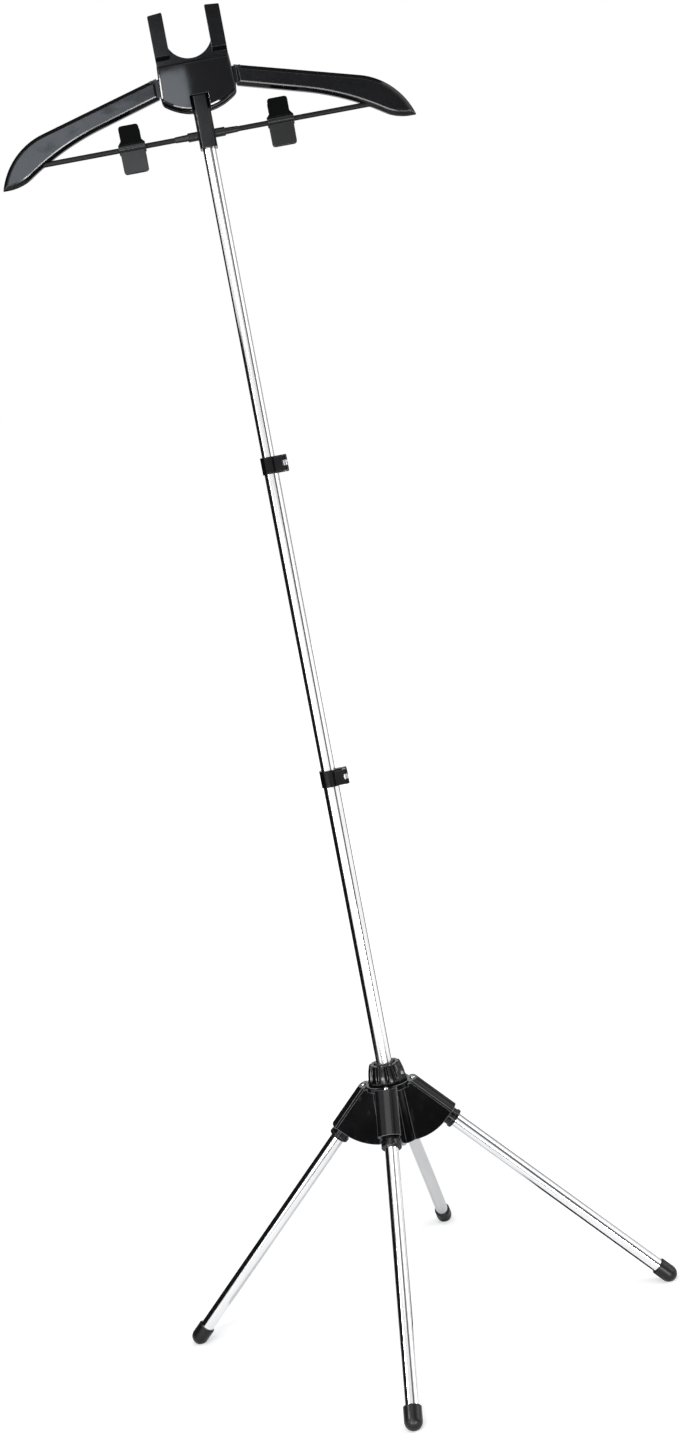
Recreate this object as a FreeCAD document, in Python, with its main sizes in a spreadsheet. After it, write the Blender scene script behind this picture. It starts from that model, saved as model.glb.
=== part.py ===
import FreeCAD, Part
import math
import os
import re
import Sketcher

Vector = FreeCAD.Vector
Rotation = FreeCAD.Rotation
Placement = FreeCAD.Placement

# Garment steamer stand: a four-legged base, a telescopic pole with two flip clamps, and a
# hanger head with a fork for the steam head. +Z is up, the floor is z = 0 and the pole is on
# the Z axis. The hanger's arms lie along X and its front faces -Y.

# Driving sizes in millimetres and degrees. Each becomes one named cell of the sheet.
DIMENSIONS = {
    # Fits: pushed together, running, and clear of each other
    "seat_fit": 0.03,
    "slide_fit": 0.06,
    "moving_gap": 0.3,
    # Legs, their collars and their feet
    "leg_diameter": 14.5,
    "leg_wall": 1.0,
    "leg_slope": 46,
    "leg_turn": -8.2,
    "leg_reach": 262.5,
    "leg_insert": 36,
    "collar_reach": 63,
    "collar_diameter": 21.2,
    "collar_length": 9,
    "collar_edge": 0.8,
    "collar_neck": 1.0,
    "collar_rim": 3.4,
    "sleeve_wall": 1.4,
    "socket_wall": 0.9,
    "socket_end": 0.6,
    "foot_diameter": 18,
    "foot_length": 23,
    "foot_insert": 14.5,
    "foot_flat": 1.5,
    # Hub
    "hub_rise": 51.9,
    "barrel_height": 64.3,
    "barrel_top_diameter": 38.6,
    "barrel_bottom_diameter": 42.2,
    "barrel_floor": 2.5,
    "flange_diameter": 48,
    "flange_thickness": 6,
    "arm_width": 24,
    "arm_crown": 3.6,
    "arm_lip": 2.5,
    "arm_lift": 9.7,
    "web_thickness": 19.8,
    "web_wall": 2.2,
    "web_radius": 60,
    "hub_screw_reach": 26.5,
    "hub_screw_diameter": 3,
    "hub_screw_length": 8,
    "hub_screw_head": 5.6,
    "hub_screw_head_height": 1.6,
    # Collet, grip ring and hand nut
    "thread_diameter": 26,
    "stub_height": 9.7,
    "finger_wall": 1.5,
    "collet_wall": 2.7,
    "collet_depth": 6,
    "collet_rise": 21.3,
    "collet_slit": 1.2,
    "ring_height": 3,
    "nut_bottom_diameter": 41.4,
    "nut_top_diameter": 34,
    "nut_height": 20.2,
    "nut_lip": 2.8,
    "nut_edge": 1.5,
    "nut_flutes": 12,
    "flute_diameter": 6,
    "flute_depth": 1.4,
    # Pole
    "upper_tube_diameter": 13,
    "tube_wall": 0.75,
    "tube_gap": 0.15,
    "tube_overlap": 70,
    "lower_reach": 320.2,
    "middle_reach": 310.5,
    "upper_reach": 312.5,
    "plug_flange": 2,
    "plug_spigot": 6,
    "bush_flange": 6,
    "bush_spigot": 8,
    "bush_wall": 1.6,
    # Flip clamps
    "clamp_height": 17.5,
    "clamp_seat": 11.5,
    "clamp_wall": 1.4,
    "clamp_slit": 1.6,
    "ear_thickness": 3.4,
    "ear_reach": 9.5,
    "ear_edge": 1.2,
    "bolt_offset": 6.3,
    "bolt_diameter": 4,
    "eye_diameter": 6,
    "eye_height": 5,
    "bolt_nut_width": 7.8,
    "bolt_nut_height": 3,
    "pin_diameter": 3,
    "pin_head_diameter": 4.6,
    "pin_head_height": 0.8,
    "cam_diameter": 6.8,
    "lever_height": 15,
    "lever_thickness": 2.2,
    "lever_gap": 0.5,
    "lever_root": 52,
    "lever_bend": 62,
    "lever_sweep": 118,
    "lever_edge": 1,
    # Head: layers from front to back, heights above the stem's underside
    "layer_front": 6,
    "layer_thickness": 8,
    "stem_width": 17.6,
    "stem_front": 10.3,
    "stem_back": 7.9,
    "stem_height": 63.5,
    "stem_socket": 55,
    "stem_chamfer": 2.8,
    "stem_edge": 0.5,
    "cover_top": 85.5,
    "cover_top_width": 73,
    "cover_width": 76.6,
    "cover_corner": 51.2,
    "cover_corner_radius": 7,
    "cover_bottom_radius": 60,
    "cover_depth": 8,
    "cover_wall": 2,
    "cover_edge": 1.2,
    "cover_notch": 52,
    "notch_gap": 0.8,
    "post_diameter": 7,
    "post_reach": 24,
    "post_height": 65.5,
    "top_post_height": 79.5,
    "cover_screw_diameter": 2.4,
    "cover_screw_length": 12,
    "cover_screw_head": 5.6,
    "cover_screw_head_height": 1.8,
    # Fork
    "fork_width": 72.6,
    "fork_gap": 43,
    "fork_foot": 76,
    "fork_saddle": 89.2,
    "fork_saddle_radius": 24,
    "fork_top": 136.6,
    "fork_slant": 1.3,
    "prong_step": 91,
    "prong_ramp": 4,
    "prong_proud": 4,
    "fork_edge": 1.4,
    # Hanger arms
    "arm_thickness": 12,
    "arm_root": 39.4,
    "arm_root_top": 76.4,
    "arm_root_bottom": 55.8,
    "arm_pitch": 15,
    "arm_shoulder": 161.5,
    "arm_shoulder_radius": 70.9,
    "arm_under_pitch": 15.5,
    "arm_drop": 80.3,
    "arm_toe": 4.8,
    "arm_steep": 33,
    "arm_hollow_radius": 50,
    "arm_corner": 2.6,
    "arm_edge": 2.4,
    "panel_rim": 3.6,
    "panel_depth": 1.0,
    "tongue_root": 13,
    "tongue_top": 74.6,
    "tongue_bottom": 56.4,
    # Trouser bar and its sleeves
    "bar_diameter": 5.2,
    "bar_rise": 14,
    "bar_tip": 172,
    "bar_recess": 2,
    "bar_sleeve_diameter": 9,
    "bar_sleeve_length": 9.8,
    "bar_neck_diameter": 6.8,
    "bar_neck_length": 13.4,
    "bar_neck_end": 6,
    "bar_spigot_diameter": 6.4,
    "bar_spigot_length": 1.8,
    # Clips
    "clip_reach": 75.6,
    "clip_width": 27,
    "clip_barrel_wall": 1.04,
    "knuckle_wall": 1.5,
    "knuckle_width": 3.5,
    "cheek_height": 8,
    "cheek_inset": 1.5,
    "clip_tab_width": 20.5,
    "clip_tab_height": 21.5,
    "clip_jaw_width": 25,
    "clip_jaw_drop": 24.5,
    "clip_jaw_tip": 2.2,
    "clip_plate": 2,
    "clip_tilt": 8,
    "spring_wire": 1,
    "spring_gap": 0.15,
    "spring_pitch": 2.1,
    "spring_turns": 4,
    "spring_leg": 9,
}

# Radii and heights that follow from the sizes above
FLOOR_TO_COLLAR = ("(foot_diameter / 2 - foot_flat"
                   " + (leg_reach + foot_length - foot_diameter / 2) * sin(leg_slope))")
HUB_TOP = "(" + FLOOR_TO_COLLAR + " + hub_rise)"
BARREL_FOOT = "(" + HUB_TOP + " - barrel_height)"
UPPER_RADIUS = "(upper_tube_diameter / 2)"
MIDDLE_RADIUS = "(upper_tube_diameter / 2 + tube_wall + tube_gap)"
LOWER_RADIUS = "(upper_tube_diameter / 2 + 2 * (tube_wall + tube_gap))"
LOWER_TUBE_FOOT = "(" + BARREL_FOOT + " + barrel_floor + plug_flange)"
LOWER_CLAMP = "(" + HUB_TOP + " + lower_reach)"
UPPER_CLAMP = "(" + LOWER_CLAMP + " + clamp_height + middle_reach)"
STEM_FOOT = "(" + UPPER_CLAMP + " + clamp_height + upper_reach)"
LEG_BORE = "(leg_diameter / 2 + seat_fit)"
SLEEVE_RADIUS = "(leg_diameter / 2 + seat_fit + sleeve_wall)"
SOCKET_RADIUS = "(leg_diameter / 2 + 2 * seat_fit + sleeve_wall + socket_wall)"
POLE_BORE = "(" + LOWER_RADIUS + " + slide_fit)"
FINGER_RADIUS = "(" + POLE_BORE + " + finger_wall)"
COLLET_RADIUS = "(" + POLE_BORE + " + collet_wall)"
CLIP_BORE = "(bar_diameter / 2 + slide_fit)"
BARREL_RADIUS = "(" + CLIP_BORE + " + clip_barrel_wall)"
KNUCKLE_BORE = "(" + BARREL_RADIUS + " + slide_fit)"
KNUCKLE_RADIUS = "(" + KNUCKLE_BORE + " + knuckle_wall)"
LAYER_MIDDLE = "(layer_front - layer_thickness / 2)"
COVER_CENTRE = "(cover_corner + sqrt(cover_bottom_radius^2 - cover_width^2 / 4))"

doc = FreeCAD.newDocument("garment_steamer_stand")
sizes = doc.addObject("Spreadsheet::Sheet", "Sizes")
for row, (alias, amount) in enumerate(DIMENSIONS.items(), start=1):
    sizes.set("A%d" % row, alias)
    sizes.set("B%d" % row, str(amount))
    sizes.setAlias("B%d" % row, alias)
doc.recompute()

nodes = []


def bound(text):
    """The sheet's form of an expression written with the plain names of the sizes."""
    def cell(found):
        word = found.group()
        return "Sizes." + word if word in DIMENSIONS else word
    return re.sub(r"[A-Za-z_]\w*", cell, str(text))


def number(text):
    """What an expression comes to with the sheet's sizes."""
    return float(sizes.evalExpression(bound(text)))


def keep(node):
    """Adds a finished object to the pieces that are written out."""
    nodes.append(node)
    return node


def add_body(name, lift=None):
    """A new body, at a height on the pole's axis if one is given."""
    body = doc.addObject("PartDesign::Body", name)
    body.Label = name
    if lift:
        body.setExpression("Placement.Base.z", bound(lift))
    return body


def add_sketch(body, role, name, offset=None):
    """A sketch on one of the body's origin planes, moved along the plane's normal."""
    plane = next(part for part in body.Origin.OriginFeatures if part.Role == role)
    sketch = body.newObject("Sketcher::SketchObject", name)
    sketch.AttachmentSupport = [(plane, "")]
    sketch.MapMode = "FlatFace"
    if offset:
        sketch.setExpression("AttachmentOffset.Base.z", bound(offset))
    return sketch


def add_turned_sketch(body, name, frame):
    """A sketch in a frame of its own, such as one square to a leg."""
    sketch = add_sketch(body, "XY_Plane", name)
    sketch.AttachmentOffset = frame
    return sketch


def fix(sketch, kind, place, text):
    """A dimension of the sketch that follows an expression."""
    index = sketch.addConstraint(Sketcher.Constraint(kind, *place, number(text)))
    sketch.setExpression("Constraints[%d]" % index, bound(text))


def draw_circle(sketch, radius, x="0", y="0"):
    centre = Vector(number(x), number(y), 0)
    index = sketch.addGeometry(Part.Circle(centre, Vector(0, 0, 1), number(radius)), False)
    fix(sketch, "Radius", (index,), radius)
    fix(sketch, "DistanceX", (-1, 1, index, 3), x)
    fix(sketch, "DistanceY", (-1, 1, index, 3), y)


def arc_between(start, end, radius):
    """The smaller arc from start to end: left-hand for a radius above 0, else right-hand."""
    chord = end - start
    aside = Vector(-chord.y, chord.x, 0).normalize()
    rise = math.sqrt(radius ** 2 - (chord.Length / 2) ** 2)
    centre = (start + end) * 0.5 + aside * math.copysign(rise, radius)
    first, last = (start, end) if radius > 0 else (end, start)
    angles = [math.atan2(point.y - centre.y, point.x - centre.x) for point in (first, last)]
    return Part.ArcOfCircle(Part.Circle(centre, Vector(0, 0, 1), abs(radius)), *angles)


def draw_outline(sketch, corners):
    """A closed outline. A corner with a third value starts an arc of that radius."""
    points = [Vector(number(corner[0]), number(corner[1]), 0) for corner in corners]
    starts, ends = [], []
    for place, corner in enumerate(corners):
        start, end = points[place], points[(place + 1) % len(points)]
        radius = number(corner[2]) if len(corner) > 2 else 0
        edge = arc_between(start, end, radius) if radius else Part.LineSegment(start, end)
        index = sketch.addGeometry(edge, False)
        starts.append((index, 2 if radius < 0 else 1))
        ends.append((index, 1 if radius < 0 else 2))
    for place, corner in enumerate(corners):
        following = starts[(place + 1) % len(corners)]
        sketch.addConstraint(Sketcher.Constraint("Coincident", *ends[place], *following))
        fix(sketch, "DistanceX", (-1, 1, *starts[place]), corner[0])
        fix(sketch, "DistanceY", (-1, 1, *starts[place]), corner[1])
        if len(corner) > 2:
            fix(sketch, "Radius", (starts[place][0],), "abs(" + corner[2] + ")")


def draw_rectangle(sketch, left, right, bottom, top):
    draw_outline(sketch, [(left, bottom), (right, bottom), (right, top), (left, top)])


def pad(body, sketch, length, back=False, both=False):
    feature = body.newObject("PartDesign::Pad", sketch.Name + "_pad")
    feature.Profile = sketch
    feature.SideType = "Symmetric" if both else "One side"
    feature.Reversed = back
    feature.setExpression("Length", bound(length))
    return feature


def pocket(body, sketch, length, back=False, both=False):
    """Cuts against the sketch's normal, or along it when back is set."""
    before = body.Tip
    feature = body.newObject("PartDesign::Pocket", sketch.Name + "_pocket")
    feature.Profile = sketch
    feature.SideType = "Symmetric" if both else "One side"
    feature.Reversed = back
    feature.setExpression("Length", bound(length))
    doc.recompute()
    if not feature.Shape.Volume < before.Shape.Volume:
        raise ValueError("%s of %s cuts nothing" % (feature.Name, body.Label))
    return feature


def revolve(body, name, corners):
    """A solid turned about the body's Z axis from an outline in radius and height."""
    sketch = add_sketch(body, "XZ_Plane", name)
    draw_outline(sketch, corners)
    feature = body.newObject("PartDesign::Revolution", name + "_turned")
    feature.Profile = sketch
    feature.ReferenceAxis = (sketch, ["V_Axis"])
    feature.Angle = 360
    return feature


def repeat_around(body, features, count):
    """Copies features around the body's Z axis."""
    axis = next(part for part in body.Origin.OriginFeatures if part.Role == "Z_Axis")
    pattern = body.newObject("PartDesign::PolarPattern", features[-1].Name + "_around")
    pattern.Originals = features
    pattern.Axis = (axis, [""])
    pattern.Angle = 360
    pattern.setExpression("Occurrences", bound(count))
    body.Tip = pattern
    return pattern


def round_edges(body, radius, chosen):
    """Rounds the edges of the body's latest shape that the test picks."""
    doc.recompute()
    base = body.Tip
    names = ["Edge%d" % place for place, edge in enumerate(base.Shape.Edges, start=1) if chosen(edge)]
    feature = body.newObject("PartDesign::Fillet", base.Name + "_rounded")
    feature.Base = (base, names)
    feature.setExpression("Radius", bound(radius))
    return feature


def runs_along(edge, direction):
    """Whether an edge is straight and parallel to a direction."""
    if not isinstance(edge.Curve, Part.Line):
        return False
    return abs(edge.Curve.Direction.dot(direction)) > 0.999


def lies_at(edge, axis, level):
    """Whether a whole edge lies at one level of an axis."""
    box = edge.BoundBox
    low, high = (getattr(box, axis + "Min"), getattr(box, axis + "Max"))
    return abs(low - level) < 0.01 and abs(high - level) < 0.01


def cylinder(name, radius, height, place):
    """A plain round bar along the local Z axis of its placement."""
    solid = doc.addObject("Part::Cylinder", name)
    solid.setExpression("Radius", bound(radius))
    solid.setExpression("Height", bound(height))
    solid.Placement = place
    return solid


def screw(name, shank, length, head, head_height, place):
    """A pan-head screw whose shank points along the placement's -Z axis."""
    length_text = "-(" + length + ")"
    core = cylinder(name + "_shank", shank + " / 2", length, place * Placement(
        Vector(0, 0, number(length_text)), Rotation()))
    top = cylinder(name + "_head", head + " / 2", head_height, place)
    whole = doc.addObject("Part::Fuse", name)
    whole.Base = core
    whole.Tool = top
    return whole


def group(name, members):
    """One node that holds several like pieces, each a solid of its own."""
    whole = doc.addObject("Part::Compound", name)
    whole.Label = name
    whole.Links = members
    return keep(whole)


def leg_frame(quarter, along="0"):
    """A frame on a leg's axis: Z runs down the leg from the end of its collar."""
    slope = number("leg_slope")
    turn = Rotation(Vector(0, 0, 1), number("leg_turn") + 90 * quarter)
    root = Vector(number("collar_reach"), 0, number(FLOOR_TO_COLLAR))
    frame = Placement(turn.multVec(root), turn * Rotation(Vector(0, 1, 0), 90 + slope))
    return frame * Placement(Vector(0, 0, number(along)), Rotation())


def tube(name, outer, wall, length, foot=None):
    """A plain round tube, upwards from a height if one is given."""
    body = add_body(name, foot)
    sketch = add_sketch(body, "XY_Plane", name + "_ring")
    draw_circle(sketch, outer)
    draw_circle(sketch, outer + " - " + wall)
    pad(body, sketch, length)
    return keep(body)


def make_leg(side, quarter):
    """One leg: its tube, the collar that seats it in the hub, and its rubber foot."""
    top = "-leg_insert"
    body = tube("leg_" + side, "leg_diameter / 2", "leg_wall", "leg_insert + leg_reach + foot_insert")
    body.Placement = leg_frame(quarter, top)

    collar = add_body("leg_collar_" + side)
    revolve(collar, "collar_" + side, [
        (LEG_BORE, top), (SLEEVE_RADIUS, top), (SLEEVE_RADIUS, "-collar_length"),
        ("collar_diameter / 2 - collar_neck", "-collar_length"),
        ("collar_diameter / 2 - collar_neck", "-collar_rim"), ("collar_diameter / 2", "-collar_rim"),
        ("collar_diameter / 2", "-collar_edge", "collar_edge"),
        ("collar_diameter / 2 - collar_edge", "0"), (LEG_BORE, "0")])
    collar.Placement = leg_frame(quarter)
    keep(collar)

    foot = add_body("foot_" + side)
    cap = "foot_diameter / 2"
    revolve(foot, "cap_" + side, [
        (LEG_BORE, "0"), (cap + " - collar_edge", "0"), (cap, "collar_edge"),
        (cap, "foot_length - foot_diameter / 2", "foot_diameter / 2"),
        ("0", "foot_length"), ("0", "foot_insert"), (LEG_BORE, "foot_insert")])
    frame = leg_frame(quarter, "leg_reach")
    tip = frame.multVec(Vector(0, 0, number("foot_length")))
    ground = Placement(Vector(tip.x, tip.y, 0), Rotation())
    flat = add_turned_sketch(foot, "ground_" + side, frame.inverse() * ground)
    draw_circle(flat, "foot_diameter")
    pocket(foot, flat, "foot_diameter")
    foot.Placement = frame
    keep(foot)


def make_hub():
    """The base moulding: barrel, top flange, four sloping arms with sockets and webs."""
    body = add_body("hub", FLOOR_TO_COLLAR)
    foot = "hub_rise - barrel_height"
    revolve(body, "barrel", [
        ("0", foot), ("barrel_bottom_diameter / 2", foot),
        ("barrel_top_diameter / 2", "hub_rise - flange_thickness"),
        ("flange_diameter / 2", "hub_rise - flange_thickness"),
        ("flange_diameter / 2", "hub_rise"), ("0", "hub_rise")])

    def arm_frame(along):
        local = Placement(Vector(number("collar_reach"), 0, 0),
                          Rotation(Vector(0, 1, 0), 90 + number("leg_slope")))
        return local * Placement(Vector(0, 0, number(along)), Rotation())

    def off_axis(distance):
        """A point of the socket's end, square to the leg's axis."""
        across = "(collar_reach - collar_length * cos(leg_slope) + (" + distance + ") * sin(leg_slope))"
        up = "(collar_length * sin(leg_slope) + (" + distance + ") * cos(leg_slope))"
        return across, up

    end = "-collar_length"
    rib = add_sketch(body, "XZ_Plane", "web")
    shelf = "(hub_rise - flange_thickness / 2)"
    outer, outer_up = off_axis("arm_lift - arm_lip / 2")
    lower, lower_up = off_axis("-" + SOCKET_RADIUS)
    draw_outline(rib, [
        ("barrel_top_diameter / 4", shelf),
        (outer + " - (" + shelf + " - " + outer_up + ") / tan(leg_slope)", shelf),
        (outer, outer_up), (lower, lower_up, "-web_radius"),
        ("barrel_bottom_diameter / 2", foot), ("barrel_top_diameter / 4", foot)])
    web = pad(body, rib, "web_thickness", both=True)
    core = add_sketch(body, "XZ_Plane", "web_hollow")
    inner = "barrel_bottom_diameter / 2"
    draw_outline(core, [
        (lower, lower_up), (inner, lower_up + " + (" + lower + " - " + inner + ") * tan(leg_slope)"),
        (inner, foot + " - web_wall"), (lower, foot + " - web_wall")])
    hollow = pocket(body, core, "web_thickness - 2 * web_wall", both=True)

    roof = add_turned_sketch(body, "arm_roof", arm_frame(end))
    half = "arm_width / 2"
    draw_outline(roof, [
        ("-arm_lift", "-" + half, "-(arm_width^2 / 4 + arm_crown^2) / (2 * arm_crown)"),
        ("-arm_lift", half), ("arm_lip - arm_lift", half), ("arm_lip - arm_lift", "-" + half)])
    plate = pad(body, roof, "hub_rise / sin(leg_slope)", back=True)

    ring = add_turned_sketch(body, "socket", arm_frame(end))
    draw_circle(ring, SOCKET_RADIUS)
    socket = pad(body, ring, "(collar_reach - barrel_top_diameter / 2) / cos(leg_slope)", back=True)

    well = add_turned_sketch(body, "leg_bore", arm_frame(end))
    draw_circle(well, SLEEVE_RADIUS + " + seat_fit")
    bore = pocket(body, well, "leg_insert + socket_end - collar_length")

    hole = add_sketch(body, "XY_Plane", "screw_hole", "hub_rise")
    draw_circle(hole, "hub_screw_diameter / 2 + seat_fit", "hub_screw_reach")
    screw_hole = pocket(body, hole, "hub_screw_length + socket_end")
    repeat_around(body, [web, hollow, plate, socket, bore, screw_hole], "4")

    above = add_sketch(body, "XY_Plane", "top_plane", "hub_rise")
    draw_circle(above, "2 * flange_diameter")
    pocket(body, above, "hub_rise * 2", back=True)

    neck = add_sketch(body, "XY_Plane", "thread_stub", "hub_rise")
    draw_circle(neck, "thread_diameter / 2")
    pad(body, neck, "stub_height")
    seat = add_sketch(body, "XY_Plane", "collet_seat", "hub_rise + stub_height")
    draw_circle(seat, COLLET_RADIUS + " + seat_fit")
    pocket(body, seat, "stub_height + collet_depth")
    shaft = add_sketch(body, "XY_Plane", "pole_bore", "hub_rise")
    draw_circle(shaft, POLE_BORE)
    pocket(body, shaft, "barrel_height - barrel_floor")
    body.Placement = Placement(Vector(0, 0, number(FLOOR_TO_COLLAR)),
                               Rotation(Vector(0, 0, 1), number("leg_turn")))
    keep(body)

    screws = []
    for quarter in range(4):
        turn = Rotation(Vector(0, 0, 1), number("leg_turn") + 90 * quarter)
        spot = turn.multVec(Vector(number("hub_screw_reach"), 0, number(HUB_TOP)))
        screws.append(screw("hub_screw_%d" % quarter, "hub_screw_diameter", "hub_screw_length",
                            "hub_screw_head", "hub_screw_head_height", Placement(spot, turn)))
    group("hub_screws", screws)


def make_collet():
    """The slotted sleeve that grips the pole, the ring that closes it and the hand nut."""
    body = add_body("collet", HUB_TOP)
    revolve(body, "sleeve", [
        (POLE_BORE, "-collet_depth"), (COLLET_RADIUS, "-collet_depth"), (COLLET_RADIUS, "stub_height"),
        (FINGER_RADIUS, "stub_height"), (FINGER_RADIUS, "collet_rise"), (POLE_BORE, "collet_rise")])
    cut = add_sketch(body, "XZ_Plane", "finger_slit")
    draw_rectangle(cut, "-collet_slit / 2", "collet_slit / 2", "stub_height / 2", "collet_rise + ring_height")
    slit = pocket(body, cut, "thread_diameter", both=True)
    repeat_around(body, [slit], "6")
    keep(body)

    ring = add_body("grip_ring", HUB_TOP)
    low = "stub_height + moving_gap"
    inner = FINGER_RADIUS + " + moving_gap"
    revolve(ring, "wedge", [
        (inner, low), ("thread_diameter / 2", low), ("thread_diameter / 2", low + " + ring_height"),
        (inner, low + " + ring_height")])
    keep(ring)

    nut = add_body("collet_nut", HUB_TOP)
    foot = "moving_gap"
    cavity = "thread_diameter / 2 + moving_gap"
    roof = "stub_height + 2 * moving_gap + ring_height"
    lip = "nut_lip + nut_edge / 2"
    waist = "nut_bottom_diameter / 2 - nut_edge / 2"
    revolve(nut, "knob", [
        (cavity, foot), ("nut_bottom_diameter / 2", foot), ("nut_bottom_diameter / 2", "nut_lip"),
        (waist, lip), ("nut_top_diameter / 2", "nut_height - nut_edge"),
        ("nut_top_diameter / 2 - nut_edge", "nut_height"), (inner, "nut_height"), (inner, roof),
        (cavity, roof)])
    lean = math.degrees(math.atan2(number(waist + " - nut_top_diameter / 2"),
                                   number("nut_height - nut_edge - (" + lip + ")")))
    spot = Vector(number(waist + " + flute_diameter / 2 - flute_depth"), 0, number(lip))
    groove = add_turned_sketch(nut, "flute", Placement(spot, Rotation(Vector(0, 1, 0), -lean)))
    draw_circle(groove, "flute_diameter / 2")
    flute = pocket(nut, groove, "2 * nut_height", back=True)
    repeat_around(nut, [flute], "nut_flutes")
    keep(nut)


def make_pole():
    """Three telescopic tubes, the plug under the lowest and the bushes under the others."""
    tube("lower_tube", LOWER_RADIUS, "tube_wall", LOWER_CLAMP + " + clamp_seat - " + LOWER_TUBE_FOOT,
         LOWER_TUBE_FOOT)
    middle_foot = LOWER_CLAMP + " + clamp_seat - tube_overlap"
    tube("middle_tube", MIDDLE_RADIUS, "tube_wall", "tube_overlap + clamp_height + middle_reach", middle_foot)
    upper_foot = UPPER_CLAMP + " + clamp_seat - tube_overlap"
    tube("upper_tube", UPPER_RADIUS, "tube_wall",
         "tube_overlap + clamp_height - clamp_seat + upper_reach + stem_socket", upper_foot)

    plug = add_body("pole_end_plug", LOWER_TUBE_FOOT)
    inside = LOWER_RADIUS + " - tube_wall - seat_fit"
    revolve(plug, "plug", [
        ("0", "-plug_flange"), (LOWER_RADIUS, "-plug_flange"), (LOWER_RADIUS, "0"),
        (inside, "0"), (inside, "plug_spigot"), ("0", "plug_spigot")])
    keep(plug)

    for name, outside, tube_radius, foot in (
            ("middle_bush", LOWER_RADIUS, MIDDLE_RADIUS, middle_foot),
            ("upper_bush", MIDDLE_RADIUS, UPPER_RADIUS, upper_foot)):
        bush = add_body(name, foot)
        rim = outside + " - tube_wall - slide_fit"
        spigot = tube_radius + " - tube_wall - seat_fit"
        bore = spigot + " - bush_wall"
        revolve(bush, name + "_turned", [
            (bore, "-bush_flange"), (rim, "-bush_flange"), (rim, "0"), (spigot, "0"),
            (spigot, "bush_spigot"), (bore, "bush_spigot")])
        keep(bush)


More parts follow.
